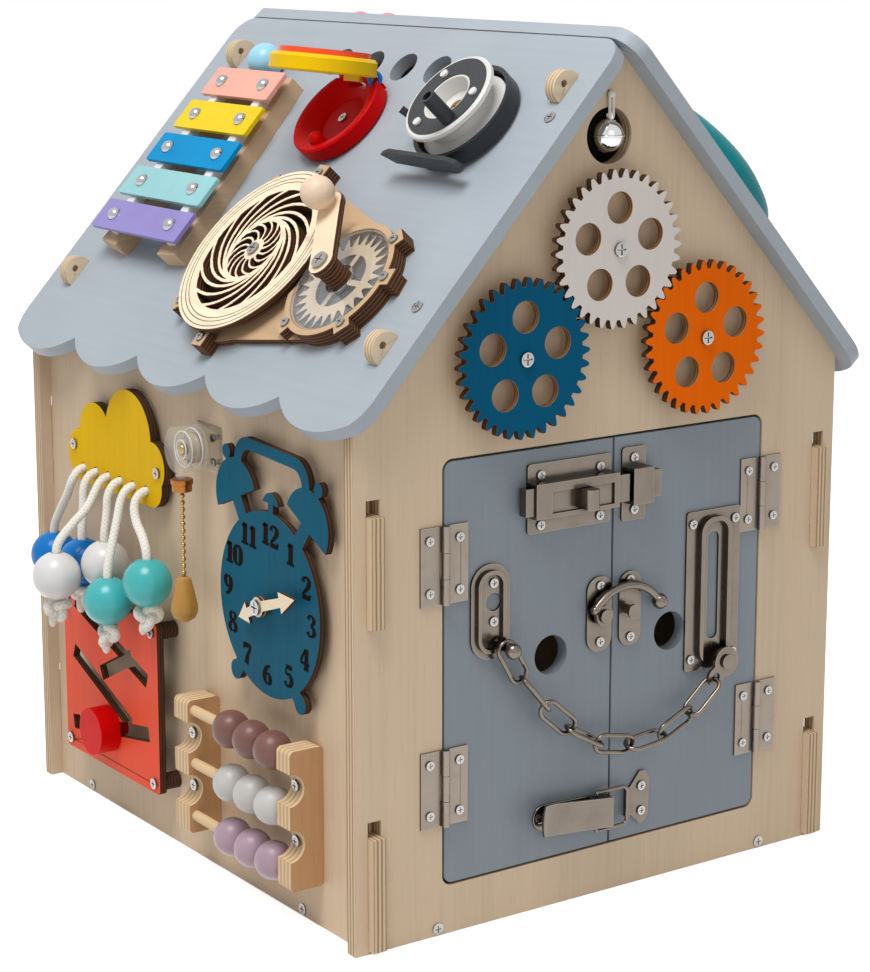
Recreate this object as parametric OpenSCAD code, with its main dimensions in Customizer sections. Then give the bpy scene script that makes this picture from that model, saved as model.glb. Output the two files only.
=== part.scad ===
/* [House] */
// width of the front and back walls
wall_w = 330; // [320:1:345]
// depth from the front face to the back face
wall_d = 360; // [354:1:380]
// thickness of all plywood panels
ply = 8; // [7:0.5:9]
// height of the left roof face at the ridge line
ridge_h = 473.6; // [468:0.1:485]
// roof slope from the horizontal, degrees
pitch = 47.7; // [46:0.1:49]
// sideways step between the two roof faces at the ridge
ridge_shift = 6; // [4:0.5:8]
// inset of the side walls from the edges of the front wall
side_inset = 8; // [6:0.5:10]

/* [Roof] */
// depth of the roof along the ridge
roof_l = 385; // [380:1:400]
// slope length to the inner corners of the scallops
roof_run = 250; // [248:1:256]
// radius of each scallop
scallop_r = 60; // [52:1:80]
// diameter of the round roof holes
roof_hole_d = 20; // [16:0.5:22]

/* [Doors] */
// half width of the door opening
open_half = 110; // [108:0.5:112]
// bottom edge of the door opening
open_bottom = 27; // [24:0.5:30]
// top edge of the door opening
open_top = 259; // [257:0.5:262]
// position of the seam between the doors
seam_x = 3; // [1:0.5:4]
// gap around and between the doors
door_gap = 1.4; // [0.8:0.1:1.6]
// diameter of the finger holes
finger_d = 22; // [18:0.5:24]
// height of the hinge leaves
hinge_h = 42; // [38:1:44]

/* [Gears] */
// teeth on each gear
gear_teeth = 34; // [34:1:34]
// distance between gear centres
gear_gap = 80.8; // [80.6:0.1:81.4]
// gear plate thickness
gear_t = 4.5; // [4:0.5:6]

/* [Wall toys] */
// diameter of the rope beads
rope_bead_d = 28.4; // [26:0.2:28.6]
// diameter of the ropes
rope_d = 5.2; // [4:0.2:5.6]
// diameter of the abacus beads
abacus_bead_d = 21.4; // [19:0.2:21.6]
// radius of the clock face
clock_r = 51; // [48:0.5:52]

/* [Roof toys] */
// radius of the spiral disc
spiral_r = 55; // [52:0.5:56]
// radius of the clapper shells
shell_r = 31; // [30:0.5:32]
// radius of the reel rim
reel_r = 32; // [31:0.5:33]

/* [Hidden] */
$fn = 48;
cb = cos(pitch);
sb = sin(pitch);
tb = tan(pitch);
front_y = -wall_d / 2;
half_w = wall_w / 2;
left_x = -half_w + side_inset;
drop = ply / cb;
apex_x = ridge_shift / 2;
apex_z = ridge_h - drop + tb * ridge_shift / 2;
eave_left = ridge_h - drop - tb * half_w;
eave_right = ridge_h - drop + tb * (ridge_shift - half_w);
left_start = ply * tb - ridge_shift / (2 * cb) + 0.1;
right_start = -(ply * (cb * cb - sb * sb) / cb + tb * ridge_shift) / (2 * sb);
fit = 0.05;
slot_clear = 0.2;
tab_out = 5;
screw_r = 1.5;
axle_r = 3;
hinge_z = 2.3;
knuckle_r = 2.2;
pin_r = 1;
plate_t = 1.5;
pitch_a = 360 / gear_teeth;
pitch_r = gear_gap / 2;
gear_stand = 10 - gear_t;
white_pos = [-3, 361];
gear_ang = 40.6;
blue_pos = [white_pos[0] - gear_gap * cos(gear_ang), white_pos[1] - gear_gap * sin(gear_ang)];
orange_pos = [white_pos[0] + gear_gap * cos(gear_ang), white_pos[1] - gear_gap * sin(gear_ang)];
bell_hole = [-3, 420];
cord_hole = [-3, 442];
upper_slot = [189, 243.5];
lower_slot = [13, 72.5];
upper_tab = [176.5, 235];
lower_tab = [2, 64];
hinge_left = [203.5, 82.5];
hinge_right = [213.5, 81.5];
axis_x = open_half - door_gap / 2;

// pieces of hardware on the doors, front view positions
bolt_z = 231;
hook_pivot = [-6.5, 161];
hook_stud = [12.5, 161];
hook_mid = [9.5, 147.5];
hook_r = 28;
stud_pos = [-73.5, 154];
track_x = 74.5;
toggle_z = 49.6;
toggle_x = -3;
toggle_h = 5.5;
loop_arm = 7;
loop_end = 11.5;
loop_half = 11;
loop_bend = 3.5;
loop_r = 1.1;
link_list = [[-68.8, 145.8], [-56.2, 127], [-40.6, 110.6], [-22.5, 97], [-1.5, 88.4], [21, 86.3],
    [42.8, 91.7], [61.7, 104]];
link_turn = [-60, -49, -41, -29, -12, 6, 24, 40];
link_half = 7.75;
link_r = 5.2;
wire_r = 1.3;
chain_h = 9.5;
chain_end = [75.3, 118.3];

// left wall positions, given as distance along the depth and height
cloud_t = 8;
rope_y = [114.8, 99.3, 84.1, 69, 53.2, 37.5];
rope_z = 209.6;
blue_at = [[139.8, 152.5, 17], [95.5, 157.5, 20.5]];
white_at = [[79.5, 156, 45.5], [66.5, 162, 20.5]];
teal_at = [[44, 146.5, 31], [15.2, 162, 20.5]];
switch_y = -23;
switch_z = 245;
pull_h = 17;
clock_c = [-97, 172];
clock_t = 8;
maze_mid = [74.5, 84.5];
maze_w = 117;
maze_h = 103;
maze_stand = 10.5;
maze_t = 4.5;
knob_at = [76, 58.5];
slot_rise = 10.04;
abacus_rows = [97, 66, 35];
rod_h = 16.5;
rod_r = 3;
post_left = -29;
post_right = -124;
bead_pitch = abacus_bead_d + 0.3;
bead_first = post_right + 0.4 + abacus_bead_d / 2;

// roof positions, given as distance along the depth and distance down the slope
xylo_y = 98;
xylo_s = [69.5, 95.6, 121.7, 147.8, 173.9];
xylo_len = [77, 84, 90, 97, 102];
xylo_near = [48, 52.8, 58.4, 61.4, 67.9];
bar_h = 17;
bar_t = 2.5;
hole_y = [50, 16.5, -17, -50.5];
hole_s = 33.5;
eyelet_at = [[160.5, 35], [-171.5, 39], [165.6, 208], [-173.2, 209.6]];
shell_at = [0, 75];
shell_t = 11;
hinge_y = 23.5;
lid_open = 54.5;
ball_at = [109.5, 45];
ball_r = 11;
reel_at = [-118.5, 68.3];
spiral_at = [-26, 175.6];
spiral_h = 10;
slot_n = 14;
slot_in = 21.2;
slot_out = 41.5;
slot_sweep = 116;
slot_from = 0.25;
hub_r = 7.2;
hub_sweep = 34;
cover_h = 7.5;
crank_at = [-112.5, 180.5];
crank_r = 33;
arm_turn = 128.7;
arm_l = 44.5;
dome_at = [-122, 114];
dome_r = 69;
dome_h = 23;

// frames: local x to the right as seen from outside, local y up, local z outward
module on_front(x, z, h = 0) {
    translate([x, front_y - h, z]) rotate([90, 0, 0]) children();
}
module on_left(y, z, h = 0) {
    translate([left_x - h, y, z]) rotate([90, 0, -90]) children();
}
module on_roof(y, s, h = 0) {
    translate([-s * cb - h * sb, y, ridge_h - s * sb + h * cb])
        rotate([0, 90 - pitch, 0]) rotate([90, 0, -90]) children();
}
module on_right_roof(y, s, h = 0) {
    translate([ridge_shift + s * cb + h * sb, y, ridge_h - s * sb + h * cb])
        rotate([0, pitch - 90, 0]) rotate([90, 0, 90]) children();
}

// shared shapes
module slab(x0, x1, y0, y1, z0, z1) {
    translate([x0, y0, z0]) cube([x1 - x0, y1 - y0, z1 - z0]);
}
module round_rect(x0, x1, y0, y1, r) {
    translate([x0 + r, y0]) square([x1 - x0 - 2 * r, y1 - y0]);
    translate([x0, y0 + r]) square([x1 - x0, y1 - y0 - 2 * r]);
    for (x = [x0 + r, x1 - r]) for (y = [y0 + r, y1 - r]) translate([x, y]) circle(r);
}
module bar2d(a, b, w) {
    d = b - a;
    translate(a) rotate(atan2(d[1], d[0])) translate([0, -w / 2]) square([norm(d), w]);
}
module screw(len = 6, head_r = 3.2, head_h = 1.4) {
    difference() {
        union() {
            cylinder(r = head_r, h = head_h);
            translate([0, 0, -len]) cylinder(r = screw_r - fit, h = len + 0.1);
        }
        translate([0, 0, head_h - 0.6]) {
            translate([-head_r * 0.6, -0.4, 0]) cube([head_r * 1.2, 0.8, 1]);
            translate([-0.4, -head_r * 0.6, 0]) cube([0.8, head_r * 1.2, 1]);
        }
    }
}
module screw_hole(len = 6, r = screw_r) {
    translate([0, 0, -len]) cylinder(r = r, h = len + 1);
}
module axle(reach, head_r = 5, head_h = 2) {
    difference() {
        union() {
            translate([0, 0, reach + 0.3]) cylinder(r = head_r, h = head_h);
            translate([0, 0, -5]) cylinder(r = axle_r - fit, h = reach + 5.4);
        }
        translate([0, 0, reach + 0.3 + head_h - 0.8]) {
            translate([-3, -0.5, 0]) cube([6, 1, 2]);
            translate([-0.5, -3, 0]) cube([1, 6, 2]);
        }
    }
}
module axle_hole() {
    translate([0, 0, -5.1]) cylinder(r = axle_r, h = 20);
}
module gable() {
    polygon([[-half_w, 0], [half_w, 0], [half_w, eave_right], [apex_x, apex_z],
        [-half_w, eave_left]]);
}
module wall_slots() {
    for (m = [0, 1]) mirror([m, 0]) for (s = [upper_slot, lower_slot])
        translate([left_x - slot_clear, s[0]]) square([ply + 2 * slot_clear, s[1] - s[0]]);
}
base_front = [-113, 115];
base_left = [130.5, -115.5];

// walls
module front_wall() {
    color([0.80, 0.68, 0.54]) difference() {
        on_front(0, 0, -ply) linear_extrude(ply) difference() {
            gable();
            wall_slots();
            round_rect(-open_half, open_half, open_bottom, open_top, 6);
            translate(bell_hole) circle(15);
            translate(cord_hole) circle(2);
            translate(white_pos) circle(axle_r);
            translate(blue_pos) circle(axle_r);
            translate(orange_pos) circle(axle_r);
            for (x = base_front) translate([x, ply / 2]) circle(screw_r);
            for (z = hinge_left) for (d = [-14, 14]) translate([-axis_x - 9.5, z + d]) circle(1);
            for (z = hinge_right) for (d = [-14, 14]) translate([axis_x + 9.5, z + d]) circle(1);
        }
        for (s = [58, 182]) on_roof(front_y + ply / 2, s, -ply) screw_hole(12);
    }
}
module back_wall() {
    color([0.80, 0.68, 0.54]) translate([0, wall_d / 2, 0]) rotate([90, 0, 0])
        linear_extrude(ply) difference() {
            gable();
            wall_slots();
        }
}
module side_plate(top) {
    inner = wall_d / 2 - ply;
    translate([-inner, 0]) square([2 * inner, top]);
    for (m = [0, 1]) mirror([m, 0]) {
        for (t = [[upper_slot[0], upper_tab], [lower_slot[0], lower_tab]]) {
            translate([inner - 1, t[0] + slot_clear])
                square([ply + 1.1, t[1][1] - t[0] - slot_clear]);
            translate([inner + ply + 0.1, t[1][0]]) square([tab_out, t[1][1] - t[1][0]]);
        }
    }
}
module left_wall() {
    color([0.80, 0.68, 0.54]) difference() {
        on_left(0, 0, -ply) linear_extrude(ply)
            side_plate(ridge_h - drop + tb * left_x - 0.4);
        for (y = base_left) on_left(y, ply / 2, 0) screw_hole(20);
        for (p = cloud_screws()) on_left(p[0], p[1], 0) screw_hole(4.1);
        for (p = maze_screws()) on_left(p[0], p[1], 0) screw_hole(4.1);
        for (p = abacus_screws()) on_left(p[0], p[1], 0) screw_hole(4.1);
        for (p = switch_screws()) on_left(p[0], p[1], 0) screw_hole(4.1);
        on_left(clock_c[0], clock_c[1], 0) axle_hole();
    }
}
module right_wall() {
    color([0.80, 0.68, 0.54]) mirror([1, 0, 0]) on_left(0, 0, -ply) linear_extrude(ply)
        side_plate(ridge_h - drop + tb * (ridge_shift + left_x) - 0.4);
}
module floor_panel() {
    inner_x = -left_x - ply;
    inner_y = wall_d / 2 - ply;
    color([0.80, 0.68, 0.54]) difference() {
        slab(-inner_x, inner_x, -inner_y, inner_y, 0, ply);
        for (x = base_front) on_front(x, ply / 2, -ply) screw_hole(12);
        for (y = base_left) on_left(y, ply / 2, -ply) screw_hole(12);
    }
}

// roof panels, drawn with the ridge upward
module roof_outline(start) {
    lobe = roof_l / 5;
    rise = sqrt(scallop_r * scallop_r - lobe * lobe / 4);
    low = roof_run + scallop_r - rise;
    intersection() {
        union() {
            translate([-roof_l / 2, -roof_run]) square([roof_l, roof_run - start]);
            for (i = [-2:2]) intersection() {
                translate([i * lobe, -roof_run + rise]) circle(scallop_r, $fn = 96);
                translate([i * lobe - lobe / 2, -low - 1]) square([lobe, 40]);
            }
        }
        round_rect(-roof_l / 2, roof_l / 2, -low - 40, -start, 16);
        round_rect(-roof_l / 2, roof_l / 2, -low, 40, 26);
    }
}
module left_roof() {
    color([0.72, 0.77, 0.81]) difference() {
        on_roof(0, 0, -ply) linear_extrude(ply) difference() {
            roof_outline(left_start);
            for (y = hole_y) translate([-y, -hole_s]) circle(roof_hole_d / 2);
        }
        for (s = [58, 182]) on_roof(front_y + ply / 2, s, 0) screw_hole(12);
        on_roof(shell_at[0], shell_at[1], 0) screw_hole(5.1);
        on_roof(reel_at[0], reel_at[1], 0) axle_hole();
        on_roof(spiral_at[0], spiral_at[1], 0) axle_hole();
        on_roof(crank_at[0], crank_at[1], 0) axle_hole();
    }
}
module right_roof() {
    color([0.50, 0.54, 0.58]) on_right_roof(0, 0, -ply) linear_extrude(ply)
        roof_outline(right_start);
}

// fasteners of the house body, one group
module cap(r = 4.4, h = 3.6) {
    intersection() {
        translate([0, 0, h - r * 1.05]) sphere(r * 1.05);
        cylinder(r = r, h = h);
    }
}
module house_screws() {
    color([0.66, 0.62, 0.58]) {
        for (x = base_front) on_front(x, ply / 2, 0) screw(18, 3.2, 0.8);
        for (y = base_left) on_left(y, ply / 2, 0) screw(18, 3.2, 0.8);
        for (s = [58, 182]) on_roof(front_y + ply / 2, s, 0) screw(18, 3.4, 0.8);
        for (z = hinge_left) for (d = [-14, 14])
            on_front(-axis_x - 9.5, z + d, 1.2) leaf_screw();
        for (z = hinge_right) for (d = [-14, 14])
            on_front(axis_x + 9.5, z + d, 1.2) leaf_screw();
        on_front(white_pos[0], white_pos[1]) axle(gear_stand + gear_t, 3.9, 1.6);
        on_front(blue_pos[0], blue_pos[1]) axle(gear_stand + gear_t, 3.9, 1.6);
        on_front(orange_pos[0], orange_pos[1]) axle(gear_stand + gear_t, 3.9, 1.6);
        for (p = cloud_screws()) on_left(p[0], p[1], cloud_t) screw(cloud_t + 4);
        for (p = maze_screws()) on_left(p[0], p[1], maze_stand + maze_t)
            screw(maze_stand + maze_t + 4);
        for (p = abacus_screws()) on_left(p[0], p[1], abacus_seat) screw(abacus_seat + 4);
        for (p = switch_screws()) on_left(p[0], p[1], 3) screw(7, 2.4, 1.2);
        on_left(clock_c[0], clock_c[1], 0) axle(clock_t + 7.3, 4.2, 1.6);
        for (i = [0:4]) for (m = [-1, 1])
            on_roof(xylo_y + m * xylo_near[i] / 2, xylo_s[i], bar_h + bar_t) cap();
        on_roof(shell_at[0], shell_at[1], 3) screw(8, 3, 1);
        on_roof(reel_at[0], reel_at[1], 0) axle(14, 4.8, 1.6);
        on_roof(spiral_at[0], spiral_at[1], 0) axle(spiral_h + 4.3, 4, 1.2);
        on_roof(crank_at[0], crank_at[1], 0) axle(25, 5, 1.6);
        for (p = spiral_tabs()) on_roof(p[0], p[1], spiral_h) screw(6, 2.8, 1.4);
        for (p = crank_tabs()) on_roof(p[0], p[1], spiral_h) screw(6, 2.8, 1.4);
    }
}
module leaf_screw() {
    difference() {
        union() {
            cylinder(r = 2.5, h = 0.9);
            translate([0, 0, -5]) cylinder(r = 0.95, h = 5.1);
        }
        translate([-1.5, -0.3, 0.4]) cube([3, 0.6, 1]);
        translate([-0.3, -1.5, 0.4]) cube([0.6, 3, 1]);
    }
}

// butt hinges: the wall leaf carries the pin
module wall_leaf() {
    e = hinge_h / 2;
    difference() {
        slab(-15, 0, -e, e, 0, 1.2);
        slab(-3, 1, -7.4, 7.4, -1, 3);
        for (d = [-14, 14]) translate([-9.5, d, -1]) cylinder(r = 1, h = 3);
    }
    for (y = [-e, 7.2]) translate([0, y, hinge_z]) rotate([-90, 0, 0])
        cylinder(r = knuckle_r, h = e - 7.2);
    translate([0, -e, hinge_z]) rotate([-90, 0, 0]) cylinder(r = pin_r, h = hinge_h);
}
module door_leaf() {
    e = hinge_h / 2;
    difference() {
        union() {
            slab(3, 15, -e, e, 0, 1.2);
            slab(0, 3.1, -6.9, 6.9, 0, 1.2);
            translate([0, -6.9, hinge_z]) rotate([-90, 0, 0]) cylinder(r = knuckle_r, h = 13.8);
        }
        translate([0, -8, hinge_z]) rotate([-90, 0, 0]) cylinder(r = pin_r + fit, h = 16);
        for (d = [-14, 14]) translate([9.5, d, -1]) cylinder(r = 1, h = 3);
    }
}
module wall_hinge_leaves() {
    color([0.66, 0.62, 0.58]) {
        for (z = hinge_left) on_front(-axis_x, z) wall_leaf();
        for (z = hinge_right) on_front(axis_x, z) mirror([1, 0, 0]) wall_leaf();
    }
}
module left_hinge_leaves() {
    color([0.66, 0.62, 0.58]) for (z = hinge_left) on_front(-axis_x, z) door_leaf();
}
module right_hinge_leaves() {
    color([0.66, 0.62, 0.58]) for (z = hinge_right)
        on_front(axis_x, z) mirror([1, 0, 0]) door_leaf();
}

// doors
function bolt_screws() = [[-47.5, 243.5], [-7.5, 243.5], [-47.5, 216.5], [-7.5, 216.5]];
function hook_screws() = [[-6.3, 177], [-6.3, 145.5]];
function anchor_screws() = [[-78.2, 189.5], [-78.2, 168.5]];
function toggle_screws() = [[-46.5, 52.3], [-22, 50.4]];
function keeper_screws() = [[16, 245.5], [16.4, 216.6], [14.5, 177.5], [15, 145],
    [24.5, 57], [24.7, 42.5]];
function track_screws() = [[track_x - 15.5, 202], [track_x + 15.5, 202], [track_x - 15.5, 124],
    [track_x + 15.5, 124]];
// a door's outline: round corners at its hinges (x = a), square ones at the seam (x = b)
module door_sheet(a, b) {
    z0 = open_bottom + door_gap;
    z1 = open_top - door_gap;
    round_rect(min(a, b), max(a, b), z0, z1, 5);
    translate([min((a + b) / 2, b), z0]) square([abs(b - a) / 2, z1 - z0]);
}
module left_door() {
    color([0.50, 0.54, 0.58]) on_front(0, 0, -ply) linear_extrude(ply) difference() {
        door_sheet(-open_half + door_gap, seam_x - door_gap / 2);
        translate([-38.5, 143]) circle(finger_d / 2);
        for (z = hinge_left) for (d = [-14, 14]) translate([-axis_x + 9.5, z + d]) circle(1);
        for (p = concat(bolt_screws(), hook_screws(), anchor_screws(), toggle_screws()))
            translate(p) circle(screw_r);
    }
}
module right_door() {
    color([0.50, 0.54, 0.58]) on_front(0, 0, -ply) linear_extrude(ply) difference() {
        door_sheet(open_half - door_gap, seam_x + door_gap / 2);
        translate([44.5, 143]) circle(finger_d / 2);
        for (z = hinge_right) for (d = [-14, 14]) translate([axis_x - 9.5, z + d]) circle(1);
        for (p = concat(keeper_screws(), track_screws())) translate(p) circle(screw_r);
    }
}
module left_door_screws() {
    color([0.70, 0.66, 0.62]) {
        for (p = concat(bolt_screws(), hook_screws(), anchor_screws(), toggle_screws()))
            on_front(p[0], p[1], plate_t) screw(7, 2.6, 1);
        for (z = hinge_left) for (d = [-14, 14]) on_front(-axis_x + 9.5, z + d, 1.2) leaf_screw();
    }
}
module right_door_screws() {
    color([0.70, 0.66, 0.62]) {
        for (p = concat(keeper_screws(), track_screws()))
            on_front(p[0], p[1], plate_t) screw(7, 2.6, 1);
        for (z = hinge_right) for (d = [-14, 14]) on_front(axis_x - 9.5, z + d, 1.2) leaf_screw();
    }
}
module drilled_plate(x0, x1, z0, z1, holes, r = 2) {
    linear_extrude(plate_t) difference() {
        round_rect(x0, x1, z0, z1, r);
        for (p = holes) translate(p) circle(screw_r);
    }
}

// flat slide bolt
module bolt_housing() {
    color([0.66, 0.62, 0.58]) on_front(0, 0) {
        drilled_plate(-56, 0, 212, 250, bolt_screws());
        difference() {
            slab(-56, 0, bolt_z - 9.5, bolt_z + 9.5, plate_t - 0.1, 9.5);
            slab(-60, 10, bolt_z - 7.5 - fit, bolt_z + 7.5 + fit, 2.3 - fit, 8.1 + fit);
            slab(-45.5, -3.5, bolt_z - 7.2, bolt_z + 4.6, 8, 12);
        }
    }
}
module bolt_slide() {
    color([0.70, 0.66, 0.62]) on_front(0, 0) {
        slab(-62, 8, bolt_z - 7.5, bolt_z + 7.5, 2.3, 8.1);
        slab(-27, -19, bolt_z - 6.8, bolt_z + 4.2, 8, 14);
        translate([-23, bolt_z - 6.8, 14]) rotate([-90, 0, 0]) cylinder(r = 4.3, h = 11);
    }
}

// swing hook on the left door
module hook_base() {
    color([0.66, 0.62, 0.58]) on_front(0, 0) {
        drilled_plate(-15, 2, 140, 182, hook_screws(), 8);
        translate([hook_pivot[0], hook_pivot[1], 0]) {
            cylinder(r = 4, h = 3.4);
            cylinder(r = 2.2, h = 6.6);
            translate([0, 0, 6.5]) cylinder(r = 3.6, h = 1.4);
        }
    }
}
module hook_arm() {
    p = hook_pivot;
    tail = hook_mid + hook_r * [cos(142), sin(142)];
    tip = hook_mid + hook_r * [cos(34), sin(34)];
    color([0.70, 0.66, 0.62]) on_front(0, 0, 5.4) difference() {
        union() {
            translate([p[0], p[1], -1.8]) cylinder(r = 5.5, h = 2.7);
            translate([0, 0, -1.5]) linear_extrude(2.4) bar2d(p, tail, 5);
            translate([hook_mid[0], hook_mid[1], 0]) rotate([0, 0, 34]) rotate_extrude(angle = 108)
                translate([hook_r, 0]) circle(2.2, $fn = 24);
            translate([tail[0], tail[1], 0]) sphere(2.7);
            translate([tip[0], tip[1], 0]) sphere(4.4);
        }
        translate([p[0], p[1], -5]) cylinder(r = 2.2 + fit, h = 10);
    }
}

// security chain
module chain_anchor() {
    color([0.66, 0.62, 0.58]) on_front(0, 0) {
        difference() {
            drilled_plate(-92.5, -67.5, 148, 200, anchor_screws(), 12);
            translate([-78, 179, -1]) cylinder(r = 5, h = 4);
        }
        translate([0, 0, plate_t - 0.1]) linear_extrude(2.1) difference() {
            round_rect(-89, -71, 151.5, 196.5, 8.5);
            round_rect(-87, -73, 153.5, 194.5, 6.5);
        }
        translate([stud_pos[0], stud_pos[1], 0]) {
            cylinder(r = 2, h = 12);
            translate([0, 0, 13]) sphere(4.4);
        }
    }
}
module link() {
    for (m = [-1, 1]) {
        translate([m * link_half, 0, 0]) rotate([0, 0, m * -90]) rotate_extrude(angle = 180)
            translate([link_r, 0]) circle(wire_r, $fn = 24);
        translate([-link_half, m * link_r, 0]) rotate([0, 90, 0])
            cylinder(r = wire_r, h = 2 * link_half, $fn = 24);
    }
}
module door_chain() {
    color([0.70, 0.66, 0.62]) on_front(0, 0) {
        for (i = [0:7]) translate([link_list[i][0], link_list[i][1], i == 0 ? 6.5 : chain_h])
            rotate([0, 0, link_turn[i]]) rotate([i == 0 ? 0 : i % 2 == 0 ? 15 : -75, 0, 0]) link();
        translate([chain_end[0], chain_end[1], 7]) {
            linear_extrude(2) difference() {
                union() {
                    translate([4.5, 3]) circle(8.5);
                    translate([-3.2, -5]) circle(5.4);
                    bar2d([-3.2, -5], [4.5, 3], 9.6);
                }
                translate([-3.2, -5]) circle(2.8);
            }
            translate([4.5, 3, 1.9]) cylinder(r = 4, h = 1.6);
        }
    }
}
module chain_track() {
    color([0.66, 0.62, 0.58]) on_front(0, 0) difference() {
        union() {
            drilled_plate(track_x - 19.5, track_x + 19.5, 117, 209, track_screws());
            translate([0, 0, plate_t - 0.1]) linear_extrude(3.1) difference() {
                round_rect(track_x - 11, track_x + 11, 120, 205, 9);
                round_rect(track_x - 8.5, track_x + 8.5, 112, 202.5, 7);
            }
        }
        translate([0, 0, -1]) linear_extrude(4) round_rect(track_x - 4, track_x + 4, 134, 196, 3.5);
    }
}

// draw latch
module toggle_base() {
    color([0.66, 0.62, 0.58]) on_front(0, 0) difference() {
        union() {
            linear_extrude(plate_t) difference() {
                polygon(concat([for (i = [0:14]) [-43, 52] + 7.6 * [cos(96 + i * 180 / 14),
                    sin(96 + i * 180 / 14)]], [[1, toggle_z - 8], [1, toggle_z + 8]]));
                for (p = toggle_screws()) translate(p) circle(screw_r);
            }
            for (z = [toggle_z - 6.2, toggle_z + 4.2]) {
                    slab(toggle_x - 2.6, toggle_x + 2.6, z, z + 2, plate_t - 0.1, toggle_h);
                    translate([toggle_x, z, toggle_h]) rotate([-90, 0, 0]) cylinder(r = 2.6, h = 2);
                }
        }
        translate([toggle_x, toggle_z - 20, toggle_h]) rotate([-90, 0, 0])
            cylinder(r = 1.5 + fit, h = 40);
    }
}
module toggle_lever() {
    color([0.70, 0.66, 0.62]) on_front(0, 0) difference() {
        union() {
            intersection() {
                linear_extrude(20) polygon([[-1.5, 40.7], [-43.5, 44.6], [-51.4, 45.8], [-52.6, 50],
                    [-52.8, 54.6], [-52, 58.6], [-49.6, 62.6], [-42, 62.2], [-1.5, 57.6]]);
                translate([0, 70, 0]) rotate([90, 0, 0]) linear_extrude(40)
                    polygon([[0, 8.6], [-42, 8.6], [-46, 9.1], [-50, 10.4], [-54, 12.8], [-54, 14.4],
                        [-50, 11.9], [-46, 10.5], [-42, 10], [0, 10]]);
            }
            for (z = [toggle_z - 8.4, toggle_z + 7])
                slab(-14, -1.5, z, z + 1.4, 3.2, 8.7);
            translate([toggle_x, toggle_z - 8.4, toggle_h]) rotate([-90, 0, 0])
                cylinder(r = 1.5, h = 16.8);
        }
        translate([toggle_x - loop_arm, toggle_z - 20, toggle_h]) rotate([-90, 0, 0])
            cylinder(r = loop_r + fit, h = 40);
    }
}
module toggle_loop() {
    px = toggle_x - loop_arm;
    color([0.70, 0.66, 0.62]) on_front(0, 0) translate([0, toggle_z, toggle_h]) {
        for (m = [-1, 1]) {
            translate([px, m * loop_half, 0]) rotate([0, 90, 0])
                cylinder(r = loop_r, h = loop_end - loop_bend - px, $fn = 24);
            translate([px, m * loop_half, 0]) rotate([m > 0 ? 90 : -90, 0, 0])
                cylinder(r = loop_r, h = loop_half - 7.1, $fn = 24);
            translate([px, m * loop_half, 0]) sphere(loop_r);
            translate([loop_end - loop_bend, m * (loop_half - loop_bend), 0])
                rotate([0, 0, m > 0 ? 0 : -90]) rotate_extrude(angle = 90)
                translate([loop_bend, 0]) circle(loop_r, $fn = 24);
        }
        translate([loop_end, loop_bend - loop_half, 0]) rotate([-90, 0, 0])
            cylinder(r = loop_r, h = 2 * (loop_half - loop_bend), $fn = 24);
    }
}
module door_keepers() {
    color([0.66, 0.62, 0.58]) on_front(0, 0) {
        drilled_plate(8, 24.5, 210.5, 251.5, [keeper_screws()[0], keeper_screws()[1]]);
        difference() {
            slab(9.5, 23.5, bolt_z - 10, bolt_z + 10, plate_t - 0.1, 10);
            slab(5, 23, bolt_z - 7.9, bolt_z + 7.9, 1.9, 8.5);
        }
        slab(23.4, 30, bolt_z - 7.5, bolt_z + 7.5, 2.3, 8.1);
        drilled_plate(7.4, 22.4, 140, 182, [keeper_screws()[2], keeper_screws()[3]], 7);
        translate([hook_stud[0], hook_stud[1], 0]) {
            cylinder(r = 2.6, h = 7);
            translate([0, 0, 6.9]) cylinder(r = 4, h = 1.6);
        }
        linear_extrude(plate_t) difference() {
            polygon([[13.5, 41], [17.5, 41], [24, 35], [27, 35.4], [30.3, 40], [30.3, 60.5],
                [27.6, 65.2], [23.8, 65.6], [17, 57.5], [13.5, 57.5]]);
            for (k = [4, 5]) translate(keeper_screws()[k]) circle(screw_r);
        }
        slab(13.5, 14.9, 41, 57.5, plate_t - 0.1, 3.8);
    }
}

// three meshing gears above the doors
function tooth_pt(r, a) = [r * cos(a), r * sin(a)];
module gear(turn) {
    outer = pitch_r + 2;
    inner = pitch_r - 2.7;
    p = pitch_a;
    pts = [for (i = [0:gear_teeth - 1]) for (k = [[inner, -0.36], [pitch_r, -0.23], [outer, -0.09],
        [outer, 0.09], [pitch_r, 0.23], [inner, 0.36]]) tooth_pt(k[0], (i + k[1]) * p + turn)];
    difference() {
        union() {
            translate([0, 0, gear_stand]) linear_extrude(gear_t) difference() {
                polygon(pts);
                for (a = [0:4]) rotate(a * 72 + 90) translate([22, 0]) circle(8.5);
            }
            translate([0, 0, 0.2]) cylinder(r = 8, h = gear_stand);
        }
        translate([0, 0, -1]) cylinder(r = axle_r + fit, h = 20);
    }
}
phi_blue = 180 + gear_ang;
phi_orange = -gear_ang;
module white_gear() {
    color([0.86, 0.82, 0.79]) on_front(white_pos[0], white_pos[1]) gear(0);
}
module blue_gear() {
    color([0.04, 0.35, 0.49]) on_front(blue_pos[0], blue_pos[1])
        gear(2 * phi_blue + 180 - pitch_a / 2);
}
module orange_gear() {
    color([0.88, 0.41, 0.0]) on_front(orange_pos[0], orange_pos[1])
        gear(2 * phi_orange + 180 - pitch_a / 2);
}

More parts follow.
